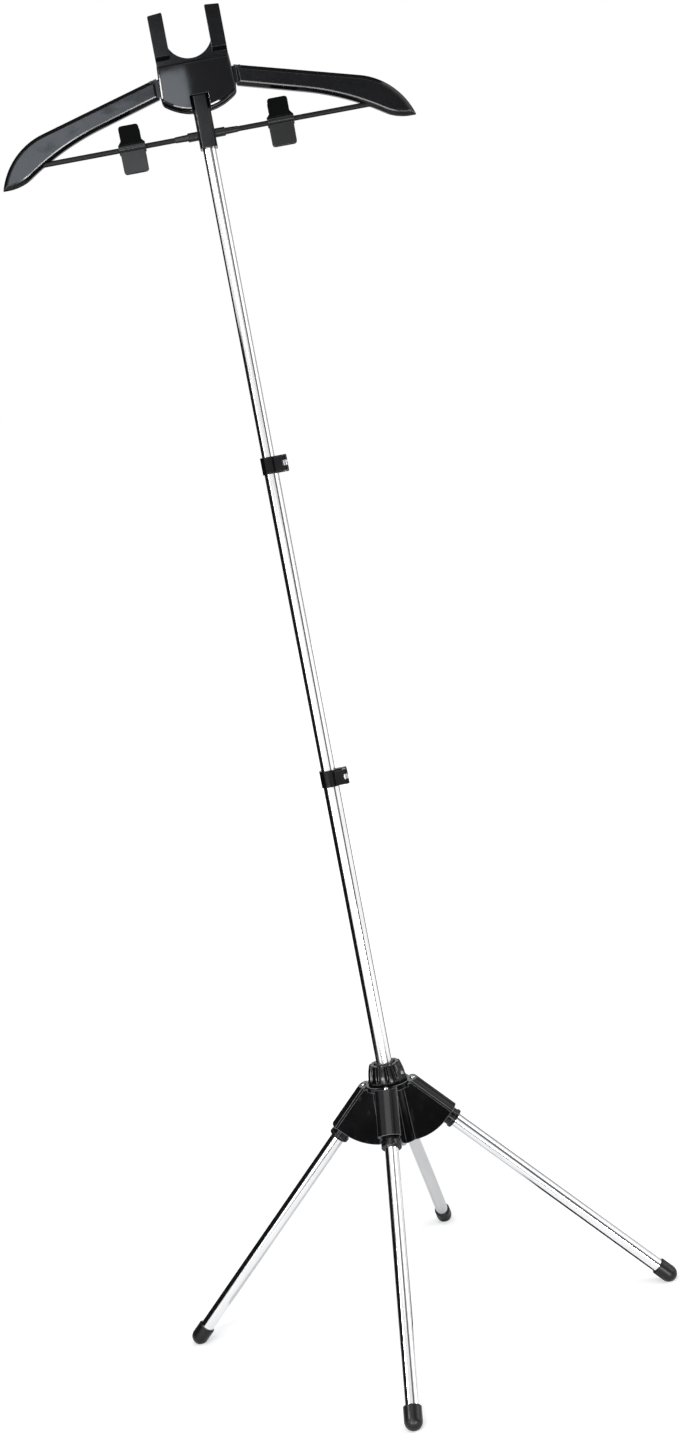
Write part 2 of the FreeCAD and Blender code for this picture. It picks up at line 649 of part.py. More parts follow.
def make_clamp(prefix, foot, outer, inner):
    """A flip clamp: split band with ears, eye bolt and nut across them, lever on its pin."""
    band_radius = "(" + outer + " + clamp_wall)"
    ear_half = "(clamp_slit / 2 + ear_thickness)"
    bolt_x = "(" + band_radius + " + bolt_offset)"
    pin_y = "(-" + ear_half + " - moving_gap - cam_diameter / 2)"
    middle = "(" + foot + " + clamp_height / 2)"

    band = add_body(prefix + "_clamp_band", foot)
    ring = add_sketch(band, "XY_Plane", prefix + "_ring")
    draw_circle(ring, band_radius)
    pad(band, ring, "clamp_height")
    ears = add_sketch(band, "XY_Plane", prefix + "_ears")
    draw_rectangle(ears, "0", band_radius + " + ear_reach", "-" + ear_half, ear_half)
    pad(band, ears, "clamp_height")
    round_edges(band, "ear_edge", lambda edge: runs_along(edge, Vector(0, 0, 1))
                and lies_at(edge, "X", number(band_radius + " + ear_reach")))
    seat = add_sketch(band, "XY_Plane", prefix + "_seat")
    draw_circle(seat, outer + " + seat_fit")
    pocket(band, seat, "clamp_seat", back=True)
    guide = add_sketch(band, "XY_Plane", prefix + "_guide")
    draw_circle(guide, inner + " + slide_fit")
    pocket(band, guide, "clamp_height", back=True)
    split = add_sketch(band, "XY_Plane", prefix + "_split")
    draw_rectangle(split, "0", band_radius + " + 2 * ear_reach", "-clamp_slit / 2", "clamp_slit / 2")
    pocket(band, split, "clamp_height", back=True)
    hole = add_sketch(band, "XZ_Plane", prefix + "_bolt_hole")
    draw_circle(hole, "bolt_diameter / 2 + seat_fit", bolt_x, "clamp_height / 2")
    pocket(band, hole, "4 * " + ear_half, both=True)
    keep(band)

    pin_spot = Vector(number(bolt_x), number(pin_y), number(middle))
    eye = cylinder(prefix + "_eye", "eye_diameter / 2", "eye_height", Placement(
        pin_spot - Vector(0, 0, number("eye_height / 2")), Rotation()))
    shank = cylinder(prefix + "_shank", "bolt_diameter / 2",
                     ear_half + " - " + pin_y + " + bolt_nut_height + seat_fit",
                     Placement(pin_spot, Rotation(Vector(1, 0, 0), -90)))
    joined = doc.addObject("Part::Fuse", prefix + "_eye_and_shank")
    joined.Base = eye
    joined.Tool = shank
    pin_hole = cylinder(prefix + "_pin_hole", "pin_diameter / 2 + slide_fit", "2 * eye_height", Placement(
        pin_spot - Vector(0, 0, number("eye_height")), Rotation()))
    bolt = doc.addObject("Part::Cut", prefix + "_clamp_bolt")
    bolt.Label = prefix + "_clamp_bolt"
    bolt.Base = joined
    bolt.Tool = pin_hole
    keep(bolt)

    face = Placement(Vector(number(bolt_x), number(ear_half), number(middle)), Rotation(Vector(1, 0, 0), -90))
    blank = doc.addObject("Part::Prism", prefix + "_hexagon")
    blank.Polygon = 6
    blank.setExpression("Circumradius", bound("bolt_nut_width / 2"))
    blank.setExpression("Height", bound("bolt_nut_height"))
    blank.Placement = face
    thread = cylinder(prefix + "_thread", "bolt_diameter / 2 + seat_fit", "bolt_nut_height", face)
    nut = doc.addObject("Part::Cut", prefix + "_clamp_nut")
    nut.Label = prefix + "_clamp_nut"
    nut.Base = blank
    nut.Tool = thread
    keep(nut)

    lever = add_body(prefix + "_clamp_lever", middle)
    near = "(" + band_radius + " + lever_gap)"
    far = "(" + band_radius + " + lever_gap + lever_thickness)"
    grip = add_sketch(lever, "XY_Plane", prefix + "_grip")
    draw_outline(grip, [
        (near + " * cos(lever_root)", "-" + near + " * sin(lever_root)", "-" + near),
        (near + " * cos(lever_sweep)", "-" + near + " * sin(lever_sweep)"),
        (far + " * cos(lever_sweep)", "-" + far + " * sin(lever_sweep)", far),
        (far + " * cos(lever_bend)", "-" + far + " * sin(lever_bend)"),
        (bolt_x, pin_y + " - cam_diameter / 2"), (bolt_x, pin_y)])
    pad(lever, grip, "lever_height", both=True)
    cam = add_sketch(lever, "XY_Plane", prefix + "_cam")
    draw_circle(cam, "cam_diameter / 2", bolt_x, pin_y)
    pad(lever, cam, "lever_height", both=True)
    fork = add_sketch(lever, "XY_Plane", prefix + "_eye_slot")
    draw_circle(fork, "cam_diameter / 2 + moving_gap", bolt_x, pin_y)
    pocket(lever, fork, "eye_height + 2 * moving_gap", both=True)
    bore = add_sketch(lever, "XY_Plane", prefix + "_pin_bore")
    draw_circle(bore, "pin_diameter / 2 + seat_fit", bolt_x, pin_y)
    pocket(lever, bore, "2 * lever_height", both=True)
    tip = Vector(number(far + " * cos(lever_sweep)"), number("-" + far + " * sin(lever_sweep)"), 0)
    round_edges(lever, "lever_edge", lambda edge: runs_along(edge, Vector(0, 0, 1))
                and edge.CenterOfMass.distanceToPoint(tip) < number("lever_thickness") * 1.2)
    keep(lever)

    pin = add_body(prefix + "_clamp_pin", middle)
    half = "lever_height / 2"
    revolve(pin, prefix + "_pin", [
        ("0", "-" + half + " - pin_head_height"), ("pin_diameter / 2", "-" + half + " - pin_head_height"),
        ("pin_head_diameter / 2", "-" + half), ("pin_diameter / 2", "-" + half),
        ("pin_diameter / 2", half), ("pin_head_diameter / 2", half),
        ("pin_diameter / 2", half + " + pin_head_height"), ("0", half + " + pin_head_height")])
    pin.setExpression("Placement.Base.x", bound(bolt_x))
    pin.setExpression("Placement.Base.y", bound(pin_y))
    keep(pin)


def make_stem():
    """The socket on the upper tube that carries the covers and the trouser bar."""
    body = add_body("stem", STEM_FOOT)
    block = add_sketch(body, "XY_Plane", "stem_block")
    half = "stem_width / 2"
    flat = "(stem_width / 2 - stem_chamfer)"
    front = "-stem_front"
    front_corner = "stem_chamfer - stem_front"
    back = "stem_back"
    back_corner = "stem_back - stem_chamfer"
    draw_outline(block, [
        (flat, front), (half, front_corner), (half, back_corner), (flat, back),
        ("-" + flat, back), ("-" + half, back_corner), ("-" + half, front_corner), ("-" + flat, front)])
    pad(body, block, "stem_height")
    round_edges(body, "stem_edge", lambda edge: runs_along(edge, Vector(0, 0, 1))
                or lies_at(edge, "Z", 0))
    well = add_sketch(body, "XY_Plane", "tube_socket")
    draw_circle(well, UPPER_RADIUS + " + seat_fit")
    pocket(body, well, "stem_socket", back=True)
    for side, sign in (("left", "-"), ("right", "")):
        recess = add_sketch(body, "YZ_Plane", side + "_bar_socket", sign + "stem_width / 2")
        draw_circle(recess, "bar_spigot_diameter / 2 + seat_fit", "-" + LAYER_MIDDLE, "bar_rise")
        pocket(body, recess, "bar_spigot_length", back=sign == "-")
    keep(body)


def draw_shield(sketch, inset):
    """The covers' outline, drawn in by an even wall: flat top, leaning sides, round bottom."""
    top = "cover_top - " + inset
    narrow = "cover_top_width / 2 - " + inset
    wide = "cover_width / 2 - " + inset
    radius = "(cover_bottom_radius - " + inset + ")"
    corner = COVER_CENTRE + " - sqrt(" + radius + "^2 - (" + wide + ")^2)"
    draw_outline(sketch, [
        ("-(" + narrow + ")", top), ("-(" + wide + ")", corner, radius), (wide, corner), (narrow, top)])


def post_places():
    """Where the covers are screwed together: beside each arm's root and under the fork."""
    return [("-post_reach", "post_height"), ("post_reach", "post_height"), ("0", "top_post_height")]


def make_covers():
    """The front and rear shells of the head and the screws that hold them together."""
    front = add_body("front_cover", STEM_FOOT)
    face = add_sketch(front, "XZ_Plane", "front_face", "layer_front")
    draw_shield(face, "0")
    pad(front, face, "cover_depth")
    round_edges(front, "cover_corner_radius", lambda edge: runs_along(edge, Vector(0, 1, 0))
                and edge.BoundBox.ZMax < number("cover_corner") + 0.01)
    round_edges(front, "cover_edge", lambda edge: lies_at(edge, "Y", number("-layer_front - cover_depth")))
    hollow = add_sketch(front, "XZ_Plane", "front_hollow", "layer_front")
    draw_shield(hollow, "cover_wall")
    pocket(front, hollow, "cover_depth - cover_wall", back=True)
    for place, (x, z) in enumerate(post_places()):
        spot = add_sketch(front, "XZ_Plane", "post_%d" % place, "layer_front + cover_depth - cover_wall")
        draw_circle(spot, "post_diameter / 2", x, z)
        pad(front, spot, "cover_depth - cover_wall + layer_thickness - moving_gap", back=True)
    for place, (x, z) in enumerate(post_places()):
        end = add_sketch(front, "XZ_Plane", "post_bore_%d" % place, LAYER_MIDDLE + " - layer_thickness / 2")
        draw_circle(end, "cover_screw_diameter / 2 + seat_fit", x, z)
        pocket(front, end, "cover_screw_length", back=True)
    notch = add_sketch(front, "XZ_Plane", "stem_notch", "layer_front")
    draw_rectangle(notch, "-stem_width / 2 - notch_gap", "stem_width / 2 + notch_gap", "0", "cover_notch")
    pocket(front, notch, "2 * cover_depth", back=True)
    keep(front)

    rear = add_body("rear_cover", STEM_FOOT)
    inner_plane = LAYER_MIDDLE + " - layer_thickness / 2"
    back = add_sketch(rear, "XZ_Plane", "rear_face", inner_plane)
    draw_shield(back, "0")
    pad(rear, back, "cover_depth", back=True)
    round_edges(rear, "cover_corner_radius", lambda edge: runs_along(edge, Vector(0, 1, 0))
                and edge.BoundBox.ZMax < number("cover_corner") + 0.01)
    outer_plane = "(" + inner_plane + " - cover_depth)"
    round_edges(rear, "cover_edge", lambda edge: lies_at(edge, "Y", number("-" + outer_plane)))
    hollow = add_sketch(rear, "XZ_Plane", "rear_hollow", inner_plane)
    draw_shield(hollow, "cover_wall")
    pocket(rear, hollow, "cover_depth - cover_wall")
    for place, (x, z) in enumerate(post_places()):
        spot = add_sketch(rear, "XZ_Plane", "boss_%d" % place, outer_plane + " + cover_wall")
        draw_circle(spot, "post_diameter / 2", x, z)
        pad(rear, spot, "cover_depth - cover_wall")
    screws = []
    for place, (x, z) in enumerate(post_places()):
        sunk = add_sketch(rear, "XZ_Plane", "screw_seat_%d" % place, outer_plane)
        draw_circle(sunk, "cover_screw_head / 2 + seat_fit", x, z)
        pocket(rear, sunk, "cover_screw_head_height", back=True)
        through = add_sketch(rear, "XZ_Plane", "screw_way_%d" % place, outer_plane)
        draw_circle(through, "cover_screw_diameter / 2 + seat_fit", x, z)
        pocket(rear, through, "cover_depth", back=True)
        spot = Vector(number(x), number("-" + outer_plane + " - cover_screw_head_height"),
                      number(STEM_FOOT + " + " + z))
        screws.append(screw("cover_screw_%d" % place, "cover_screw_diameter", "cover_screw_length",
                            "cover_screw_head", "cover_screw_head_height",
                            Placement(spot, Rotation(Vector(1, 0, 0), -90))))
    way = add_sketch(rear, "XZ_Plane", "stem_way", inner_plane)
    draw_rectangle(way, "-stem_width / 2 - notch_gap", "stem_width / 2 + notch_gap", "0", "cover_corner")
    pocket(rear, way, "cover_depth - cover_wall")
    keep(rear)
    group("cover_screws", screws)


def make_fork():
    """The steam head's rest: a saddle between the covers and two prongs that step forward."""
    body = add_body("fork", STEM_FOOT)
    back = LAYER_MIDDLE + " - layer_thickness / 2"
    half = "fork_width / 2"
    gap = "fork_gap / 2"
    slope_start = "fork_saddle + fork_saddle_radius - sqrt(fork_saddle_radius^2 - fork_gap^2 / 4)"
    flat = add_sketch(body, "XZ_Plane", "fork_plate", back)
    draw_outline(flat, [
        ("-" + half, "fork_foot"), (half, "fork_foot"), (half, "fork_top"), (gap, "fork_top"),
        (gap, slope_start, "-fork_saddle_radius"), ("-" + gap, slope_start), ("-" + gap, "fork_top"),
        ("-" + half, "fork_top")])
    pad(body, flat, "layer_thickness")
    for side, start in (("left", "-" + half), ("right", gap)):
        step = add_sketch(body, "YZ_Plane", side + "_prong", start)
        draw_outline(step, [
            ("-layer_front", "prong_step"), ("-layer_front", "fork_top"),
            ("-layer_front - prong_proud", "fork_top"),
            ("-layer_front - prong_proud", "prong_step + prong_ramp")])
        pad(body, step, "(fork_width - fork_gap) / 2")
    slant = add_sketch(body, "XZ_Plane", "prong_tops")
    above = "fork_top + fork_slant"
    draw_outline(slant, [
        ("-" + half, "fork_top - fork_slant"), ("-" + gap, "fork_top"), (gap, "fork_top"),
        (half, "fork_top - fork_slant"), (half, above), ("-" + half, above)])
    pocket(body, slant, "6 * layer_thickness", both=True)
    round_edges(body, "fork_edge", lambda edge: edge.BoundBox.ZMin > number("fork_top - 2 * fork_slant")
                and runs_along(edge, Vector(0, 1, 0)))
    bore = add_sketch(body, "XZ_Plane", "fork_post_hole", back)
    draw_circle(bore, "post_diameter / 2 + seat_fit", "0", "top_post_height")
    pocket(body, bore, "2 * layer_thickness", back=True)
    keep(body)


def make_arm(side, sign):
    """One hanger arm: a rounded blade with an inset face and a tongue between the covers."""
    body = add_body(side + "_arm_blade", STEM_FOOT)
    middle = LAYER_MIDDLE
    bulge = "" if sign == "" else "-"
    hollow = "-" if sign == "" else ""

    def across(text):
        return sign + text

    shoulder_z = "(arm_root_top - (arm_shoulder - arm_root) * tan(arm_pitch))"
    crest_x = "(arm_shoulder - arm_shoulder_radius * sin(arm_pitch))"
    crest_z = "(" + shoulder_z + " - arm_shoulder_radius * cos(arm_pitch))"
    lip_z = "(arm_root_top - arm_drop)"
    tip_x = "(" + crest_x + " + sqrt(arm_shoulder_radius^2 - (" + lip_z + " - " + crest_z + ")^2))"
    lip_x = "(" + tip_x + " - arm_toe)"
    steep_x = "(" + lip_x + " - arm_hollow_radius * sin(arm_steep))"
    steep_z = "(" + lip_z + " + arm_hollow_radius * (1 - cos(arm_steep)))"
    rise = "(arm_root_bottom - (" + steep_x + " - arm_root) * tan(arm_under_pitch) - " + steep_z + ")"
    belly = "(" + rise + " / (tan(arm_steep) - tan(arm_under_pitch)) / cos(arm_steep))"
    belly_radius = "(" + belly + " / tan((arm_steep - arm_under_pitch) / 2))"
    straight_x = "(" + steep_x + " - " + belly + " * (cos(arm_steep) + cos(arm_under_pitch)))"
    straight_z = "(arm_root_bottom - (" + straight_x + " - arm_root) * tan(arm_under_pitch))"
    blade = add_sketch(body, "XZ_Plane", side + "_blade", middle)
    draw_outline(blade, [
        (across("arm_root"), "arm_root_bottom"), (across("arm_root"), "arm_root_top"),
        (across("arm_shoulder"), shoulder_z, hollow + "arm_shoulder_radius"),
        (across(tip_x), lip_z), (across(lip_x), lip_z, hollow + "arm_hollow_radius"),
        (across(steep_x), steep_z, bulge + belly_radius), (across(straight_x), straight_z)])
    pad(body, blade, "arm_thickness", both=True)
    ends = [number(across("arm_root")), number(across(tip_x))]
    round_edges(body, "arm_corner", lambda edge: any(lies_at(edge, "X", level) for level in ends))
    faces = [number("-" + middle + " - arm_thickness / 2"), number("-" + middle + " + arm_thickness / 2")]
    round_edges(body, "arm_edge", lambda edge: any(lies_at(edge, "Y", level) for level in faces))
    tongue = add_sketch(body, "XZ_Plane", side + "_tongue", middle)
    limits = [across("tongue_root"), across("(arm_root + panel_rim)")]
    draw_rectangle(tongue, *(limits if sign == "" else limits[::-1]), "tongue_bottom", "tongue_top")
    pad(body, tongue, "layer_thickness - 2 * seat_fit", both=True)
    hole = add_sketch(body, "XZ_Plane", side + "_post_hole", middle)
    draw_circle(hole, "post_diameter / 2 + seat_fit", across("post_reach"), "post_height")
    pocket(body, hole, "2 * layer_thickness", both=True)
    bore = add_sketch(body, "YZ_Plane", side + "_bar_hole", across("bar_tip"))
    draw_circle(bore, "bar_diameter / 2 + seat_fit", "-" + middle, "bar_rise")
    pocket(body, bore, "bar_tip - " + straight_x, back=sign == "-")
    doc.recompute()

    panel = doc.addObject("Part::Feature", side + "_panel_cut")
    wire = Part.Wire(Part.__sortEdges__(blade.Shape.Edges))
    inset = Part.Face(wire.makeOffset2D(-number("panel_rim"), 0))
    inset.translate(Vector(0, number("-arm_thickness"), 0))
    panel.Shape = inset.extrude(Vector(0, number("arm_thickness / 2 + panel_depth"), 0))
    panel.Placement = Placement(Vector(0, 0, number(STEM_FOOT)), Rotation())
    arm = doc.addObject("Part::Cut", side + "_arm")
    arm.Label = side + "_arm"
    arm.Base = body
    arm.Tool = panel
    keep(arm)


def make_bar(side, sign):
    """Half of the trouser bar and the stepped sleeve that holds it beside the stem."""
    turn = Rotation(Vector(0, 1, 0), 90 if sign > 0 else -90)
    stem_side = Vector(sign * number("stem_width / 2"), number("-" + LAYER_MIDDLE),
                       number(STEM_FOOT + " + bar_rise"))
    frame = Placement(stem_side, turn)
    sleeve = add_body(side + "_bar_sleeve")
    spigot = "bar_spigot_diameter / 2"
    thick = "bar_sleeve_diameter / 2"
    neck = "bar_neck_diameter / 2"
    bore = "bar_diameter / 2 + seat_fit"
    end = "bar_sleeve_length + bar_neck_length"
    revolve(sleeve, side + "_steps", [
        ("0", "-bar_spigot_length"), (spigot, "-bar_spigot_length"), (spigot, "0"), (thick, "0"),
        (thick, "bar_sleeve_length"), (neck, "bar_sleeve_length + (" + thick + " - " + neck + ") / 2"),
        ("bar_neck_end / 2", end),
        (bore, end), (bore, "bar_recess"), ("0", "bar_recess")])
    sleeve.Placement = frame
    keep(sleeve)

    bar = cylinder(side + "_bar", "bar_diameter / 2", "bar_tip - stem_width / 2 - bar_recess - 2 * seat_fit",
                   frame * Placement(Vector(0, 0, number("bar_recess + seat_fit")), Rotation()))
    bar.Label = side + "_bar"
    keep(bar)


def biarc(start, start_way, end, end_way):
    """Two arcs that leave one point and reach another along given directions."""
    chord = end - start
    ways = start_way + end_way
    spread = 2 * (1 - start_way.dot(end_way))
    along = chord.dot(ways)
    reach = (math.sqrt(along ** 2 + spread * chord.dot(chord)) - along) / spread
    corners = [start + start_way * reach, end - end_way * reach]
    joint = (corners[0] + corners[1]) * 0.5
    arcs = []
    for first, corner, last in ((start, corners[0], joint), (joint, corners[1], end)):
        centre = (first + last) * 0.5
        half = (last - first).Length / 2
        rise = (corner - centre).Length
        crest = centre + (corner - centre) * (half / rise * math.tan(math.atan2(rise, half) / 2))
        arcs.append(Part.Arc(first, crest, last).toShape())
    return arcs


def torsion_spring(name, place):
    """A coil round the clip's barrel with a straight leg against each finger tab."""
    wire_radius = number("spring_wire / 2")
    mean = number(BARREL_RADIUS + " + spring_gap + spring_wire / 2")
    pitch = number("spring_pitch")
    tilt = math.radians(number("clip_tilt"))
    first = math.pi + tilt
    last = 2 * math.pi * (number("spring_turns") + 1) - tilt
    rise = pitch / (2 * math.pi)
    steps = 4 * (int(number("spring_turns")) + 1)

    def spot(angle):
        return Vector(rise * (angle - (first + last) / 2), mean * math.cos(angle), mean * math.sin(angle))

    def way(angle):
        return Vector(rise, -mean * math.sin(angle), mean * math.cos(angle)).normalize()

    angles = [first + (last - first) * step / steps for step in range(steps + 1)]
    leg = number("spring_leg")
    foot = spot(first) - way(first) * leg
    top = spot(last) + way(last) * leg
    edges = [Part.LineSegment(foot, spot(first)).toShape()]
    for low, high in zip(angles, angles[1:]):
        edges += biarc(spot(low), way(low), spot(high), way(high))
    edges.append(Part.LineSegment(spot(last), top).toShape())
    path = Part.Wire(edges)
    profile = Part.Wire([Part.makeCircle(wire_radius, foot, way(first))])
    spring = doc.addObject("Part::Feature", name)
    spring.Label = name
    spring.Shape = path.makePipeShell([profile], True, False)
    spring.Placement = place
    fine = [spot(first + (last - first) * step / (12 * steps)) for step in range(12 * steps + 1)]
    apart = min((a - b).Length for place, a in enumerate(fine) for b in fine[place + 36:])
    print("%s: least gap between turns %.2f mm" % (name, apart - 2 * wire_radius))
    return keep(spring)


def make_jaw(name, face, knuckle_out, place):
    """One jaw of a clip: finger tab above the bar, gripping plate below, two knuckles on it."""
    body = add_body(name)
    inner = "((" + BARREL_RADIUS + " + spring_gap + spring_wire + slide_fit) / cos(clip_tilt))"
    clear = "(" + KNUCKLE_RADIUS + " + moving_gap)"
    lean = "tan(clip_tilt)"
    tab_foot = "(" + KNUCKLE_BORE + ")"

    def at(depth):
        return face + "(" + depth + ")"

    tab = add_sketch(body, "YZ_Plane", name + "_tab")
    draw_outline(tab, [
        (at(inner + " + " + tab_foot + " * " + lean), tab_foot),
        (at(clear), "knuckle_wall / 2"), (at(clear + " + clip_plate"), "knuckle_wall / 2"),
        (at(inner + " + clip_plate + clip_tab_height * " + lean), "clip_tab_height"),
        (at(inner + " + clip_tab_height * " + lean), "clip_tab_height")])
    pad(body, tab, "clip_width", both=True)
    trim = add_sketch(body, "XZ_Plane", name + "_flare")
    wide, slim = "clip_width / 2", "clip_tab_width / 2"
    bend = "clip_tab_height / 3"
    above = "clip_tab_height + clip_plate"
    for mark in ("-", ""):
        draw_outline(trim, [
            (mark + wide, bend + " / 2"), (mark + wide, above), (mark + slim, above), (mark + slim, bend)])
    pocket(body, trim, "2 * clip_width", both=True)
    jaw = add_sketch(body, "YZ_Plane", name + "_grip")
    draw_outline(jaw, [
        (at(clear), "-knuckle_wall / 2"), (at(clear + " + clip_plate"), "-knuckle_wall / 2"),
        (at("moving_gap / 2 + clip_jaw_tip"), "-clip_jaw_drop"), (at("moving_gap / 2"), "-clip_jaw_drop"),
        (at("moving_gap / 2"), "clip_jaw_tip * 2 - clip_jaw_drop"),
        (at(clear), "-" + tab_foot)])
    pad(body, jaw, "clip_jaw_width", both=True)
    for mark in ("-", ""):
        start = "-(" + knuckle_out + ")" if mark else "(" + knuckle_out + " - knuckle_width)"
        ring = add_sketch(body, "YZ_Plane", name + ("_left" if mark else "_right") + "_knuckle", start)
        draw_circle(ring, KNUCKLE_RADIUS)
        pad(body, ring, "knuckle_width")
        block = add_sketch(body, "YZ_Plane", name + ("_left" if mark else "_right") + "_cheek", start)
        edges = [at("cheek_inset"), at(clear + " + clip_plate / 2")]
        half = "cheek_height / 2"
        draw_rectangle(block, *(edges if face == "" else edges[::-1]), "-" + half, half)
        pad(body, block, "knuckle_width")
    bore = add_sketch(body, "YZ_Plane", name + "_bore")
    draw_circle(bore, KNUCKLE_BORE)
    pocket(body, bore, "2 * clip_width", both=True)
    body.Placement = place
    return keep(body)


def make_clip(side, sign):
    """A trouser clip: a barrel that slides on the bar, two jaws and the spring between them."""
    place = Placement(Vector(sign * number("clip_reach"), number("-" + LAYER_MIDDLE),
                             number(STEM_FOOT + " + bar_rise")), Rotation())
    along = place * Placement(Vector(number("-clip_width / 2"), 0, 0), Rotation(Vector(0, 1, 0), 90))
    barrel = tube(side + "_clip_barrel", BARREL_RADIUS, "clip_barrel_wall", "clip_width")
    barrel.Placement = along
    make_jaw(side + "_clip_front", "-", "clip_width / 2", place)
    make_jaw(side + "_clip_rear", "", "clip_width / 2 - knuckle_width - moving_gap", place)
    torsion_spring(side + "_clip_spring", place)


make_hub()
for quarter, side in enumerate(("right", "rear", "left", "front")):
    make_leg(side, quarter)
make_collet()
make_pole()
make_clamp("lower", LOWER_CLAMP, LOWER_RADIUS, MIDDLE_RADIUS)
make_clamp("upper", UPPER_CLAMP, MIDDLE_RADIUS, UPPER_RADIUS)
make_stem()
make_covers()
make_fork()
for side, sign, mark in (("left", -1, "-"), ("right", 1, "")):
    make_arm(side, mark)
    make_bar(side, sign)
    make_clip(side, sign)
doc.recompute()

failed = [item.Label for item in doc.Objects if {"Invalid", "Error"} & set(item.State)]
if failed:
    raise RuntimeError("failed objects: " + ", ".join(failed))
for node in nodes:
    if node.Shape.isNull() or not node.Shape.isValid():
        raise RuntimeError("bad shape: " + node.Label)

os.makedirs("parts", exist_ok=True)
for node in nodes:
    node.Shape.exportStep("parts/" + node.Label + ".step")
print("%d pieces, %.0f mm tall" % (len(nodes), max(node.Shape.BoundBox.ZMax for node in nodes)))
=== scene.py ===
import math

import bmesh
import bpy
from mathutils import Matrix, Vector


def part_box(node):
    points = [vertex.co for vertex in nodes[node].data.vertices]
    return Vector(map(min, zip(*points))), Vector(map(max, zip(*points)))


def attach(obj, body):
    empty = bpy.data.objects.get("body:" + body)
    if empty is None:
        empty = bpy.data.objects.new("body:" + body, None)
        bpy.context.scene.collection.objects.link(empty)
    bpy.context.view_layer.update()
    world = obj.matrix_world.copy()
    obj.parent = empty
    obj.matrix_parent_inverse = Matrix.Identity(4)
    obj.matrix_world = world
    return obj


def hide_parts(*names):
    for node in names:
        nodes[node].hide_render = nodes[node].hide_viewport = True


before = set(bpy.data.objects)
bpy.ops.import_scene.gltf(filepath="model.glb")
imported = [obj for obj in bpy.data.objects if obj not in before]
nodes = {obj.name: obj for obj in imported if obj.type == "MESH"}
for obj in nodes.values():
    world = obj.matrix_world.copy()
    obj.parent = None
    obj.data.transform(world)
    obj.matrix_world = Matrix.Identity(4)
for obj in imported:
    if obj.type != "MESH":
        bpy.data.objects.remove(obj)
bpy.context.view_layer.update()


# Rubber feet
# Four domed caps pushed over the ends of the legs, moulded in soft black rubber.
# Their skin is matt and slightly pebbled, paler along its edges: partly scuffed, partly a painted highlight.


def feed(tree, node, feeds):
    """Feeds a node's sockets with links or plain values."""
    for socket, value in feeds.items():
        if isinstance(value, bpy.types.NodeSocket):
            tree.links.new(value, node.inputs[socket])
        else:
            node.inputs[socket].default_value = value


def put(tree, kind, feeds=None, **options):
    """Adds a node, sets its options and feeds its sockets."""
    node = tree.nodes.new(kind)
    for option, value in options.items():
        setattr(node, option, value)
    feed(tree, node, feeds or {})
    return node


def times(tree, first, second):
    """The product of two sockets or values."""
    return put(tree, "ShaderNodeMath", {0: first, 1: second}, operation="MULTIPLY").outputs["Value"]


def blend(tree, share, first, second):
    """One colour that goes over into another."""
    return put(tree, "ShaderNodeMix", {0: share, 6: first, 7: second}, data_type="RGBA").outputs[2]


def start_group(name, inputs, outputs):
    """An empty shader group with named sockets: the group, what it is given, and its last node."""
    group = bpy.data.node_groups.new(name, "ShaderNodeTree")
    for socket, kind, value in inputs:
        group.interface.new_socket(socket, in_out="INPUT", socket_type=kind).default_value = value
    for socket in outputs:
        kind = "NodeSocketVector" if socket == "Normal" else "NodeSocketFloat"
        group.interface.new_socket(socket, in_out="OUTPUT", socket_type=kind)
    return group, group.nodes.new("NodeGroupInput").outputs, group.nodes.new("NodeGroupOutput")


def start_finish(name):
    """A new material, its node tree and its shader."""
    material = bpy.data.materials.new(name)
    material.use_nodes = True
    return material, material.node_tree, material.node_tree.nodes["Principled BSDF"]


def place_group(tree, group, **feeds):
    """Places a shader group in a material."""
    return put(tree, "ShaderNodeGroup", feeds, node_tree=group).outputs


def coat(names, material):
    """Gives carried-over pieces their finish."""
    for name in names:
        nodes[name].data.materials.clear()
        nodes[name].data.materials.append(material)


# Moulded skin: the fine spark texture of a mould, as a height and as a speckle.
skin_grain, given, last = start_group(
    "skin_grain", [("Scale", "NodeSocketFloat", 3000.0)], ("Height", "Speckle"))
spot = put(skin_grain, "ShaderNodeTexCoord").outputs["Object"]
fine = put(skin_grain, "ShaderNodeTexNoise", {"Vector": spot, "Scale": given["Scale"], "Detail": 2.0})
broad = put(skin_grain, "ShaderNodeTexNoise", {"Vector": spot, "Scale": 55.0, "Detail": 4.0})
feed(skin_grain, last, {"Height": fine.outputs["Fac"], "Speckle": broad.outputs["Fac"]})

# Handling marks: roughness that wanders between two levels, with faint streaks.
handling, given, last = start_group(
    "handling",
    [("Low", "NodeSocketFloat", 0.2), ("High", "NodeSocketFloat", 0.4), ("Size", "NodeSocketFloat", 40.0)],
    ("Roughness", "Marks"))
spot = put(handling, "ShaderNodeTexCoord").outputs["Object"]
smudge = put(handling, "ShaderNodeTexNoise",
             {"Vector": spot, "Scale": given["Size"], "Detail": 6.0, "Roughness": 0.65})
stretched = put(handling, "ShaderNodeMapping",
                {"Vector": spot, "Rotation": (0.5, 0.3, 0.7), "Scale": (30.0, 900.0, 60.0)})
streak = put(handling, "ShaderNodeTexNoise",
             {"Vector": stretched.outputs["Vector"], "Scale": 1.0, "Detail": 3.0})
fine_streak = put(handling, "ShaderNodeMapRange",
                  {"Value": streak.outputs["Fac"], "From Min": 0.6, "From Max": 0.8})
both = put(handling, "ShaderNodeMath",
           {0: smudge.outputs["Fac"], 1: fine_streak.outputs["Result"]}, operation="ADD")
wander = put(handling, "ShaderNodeMapRange",
             {"Value": both.outputs["Value"], "From Min": 0.35, "From Max": 1.1,
              "To Min": given["Low"], "To Max": given["High"]})
feed(handling, last, {"Roughness": wander.outputs["Result"], "Marks": fine_streak.outputs["Result"]})

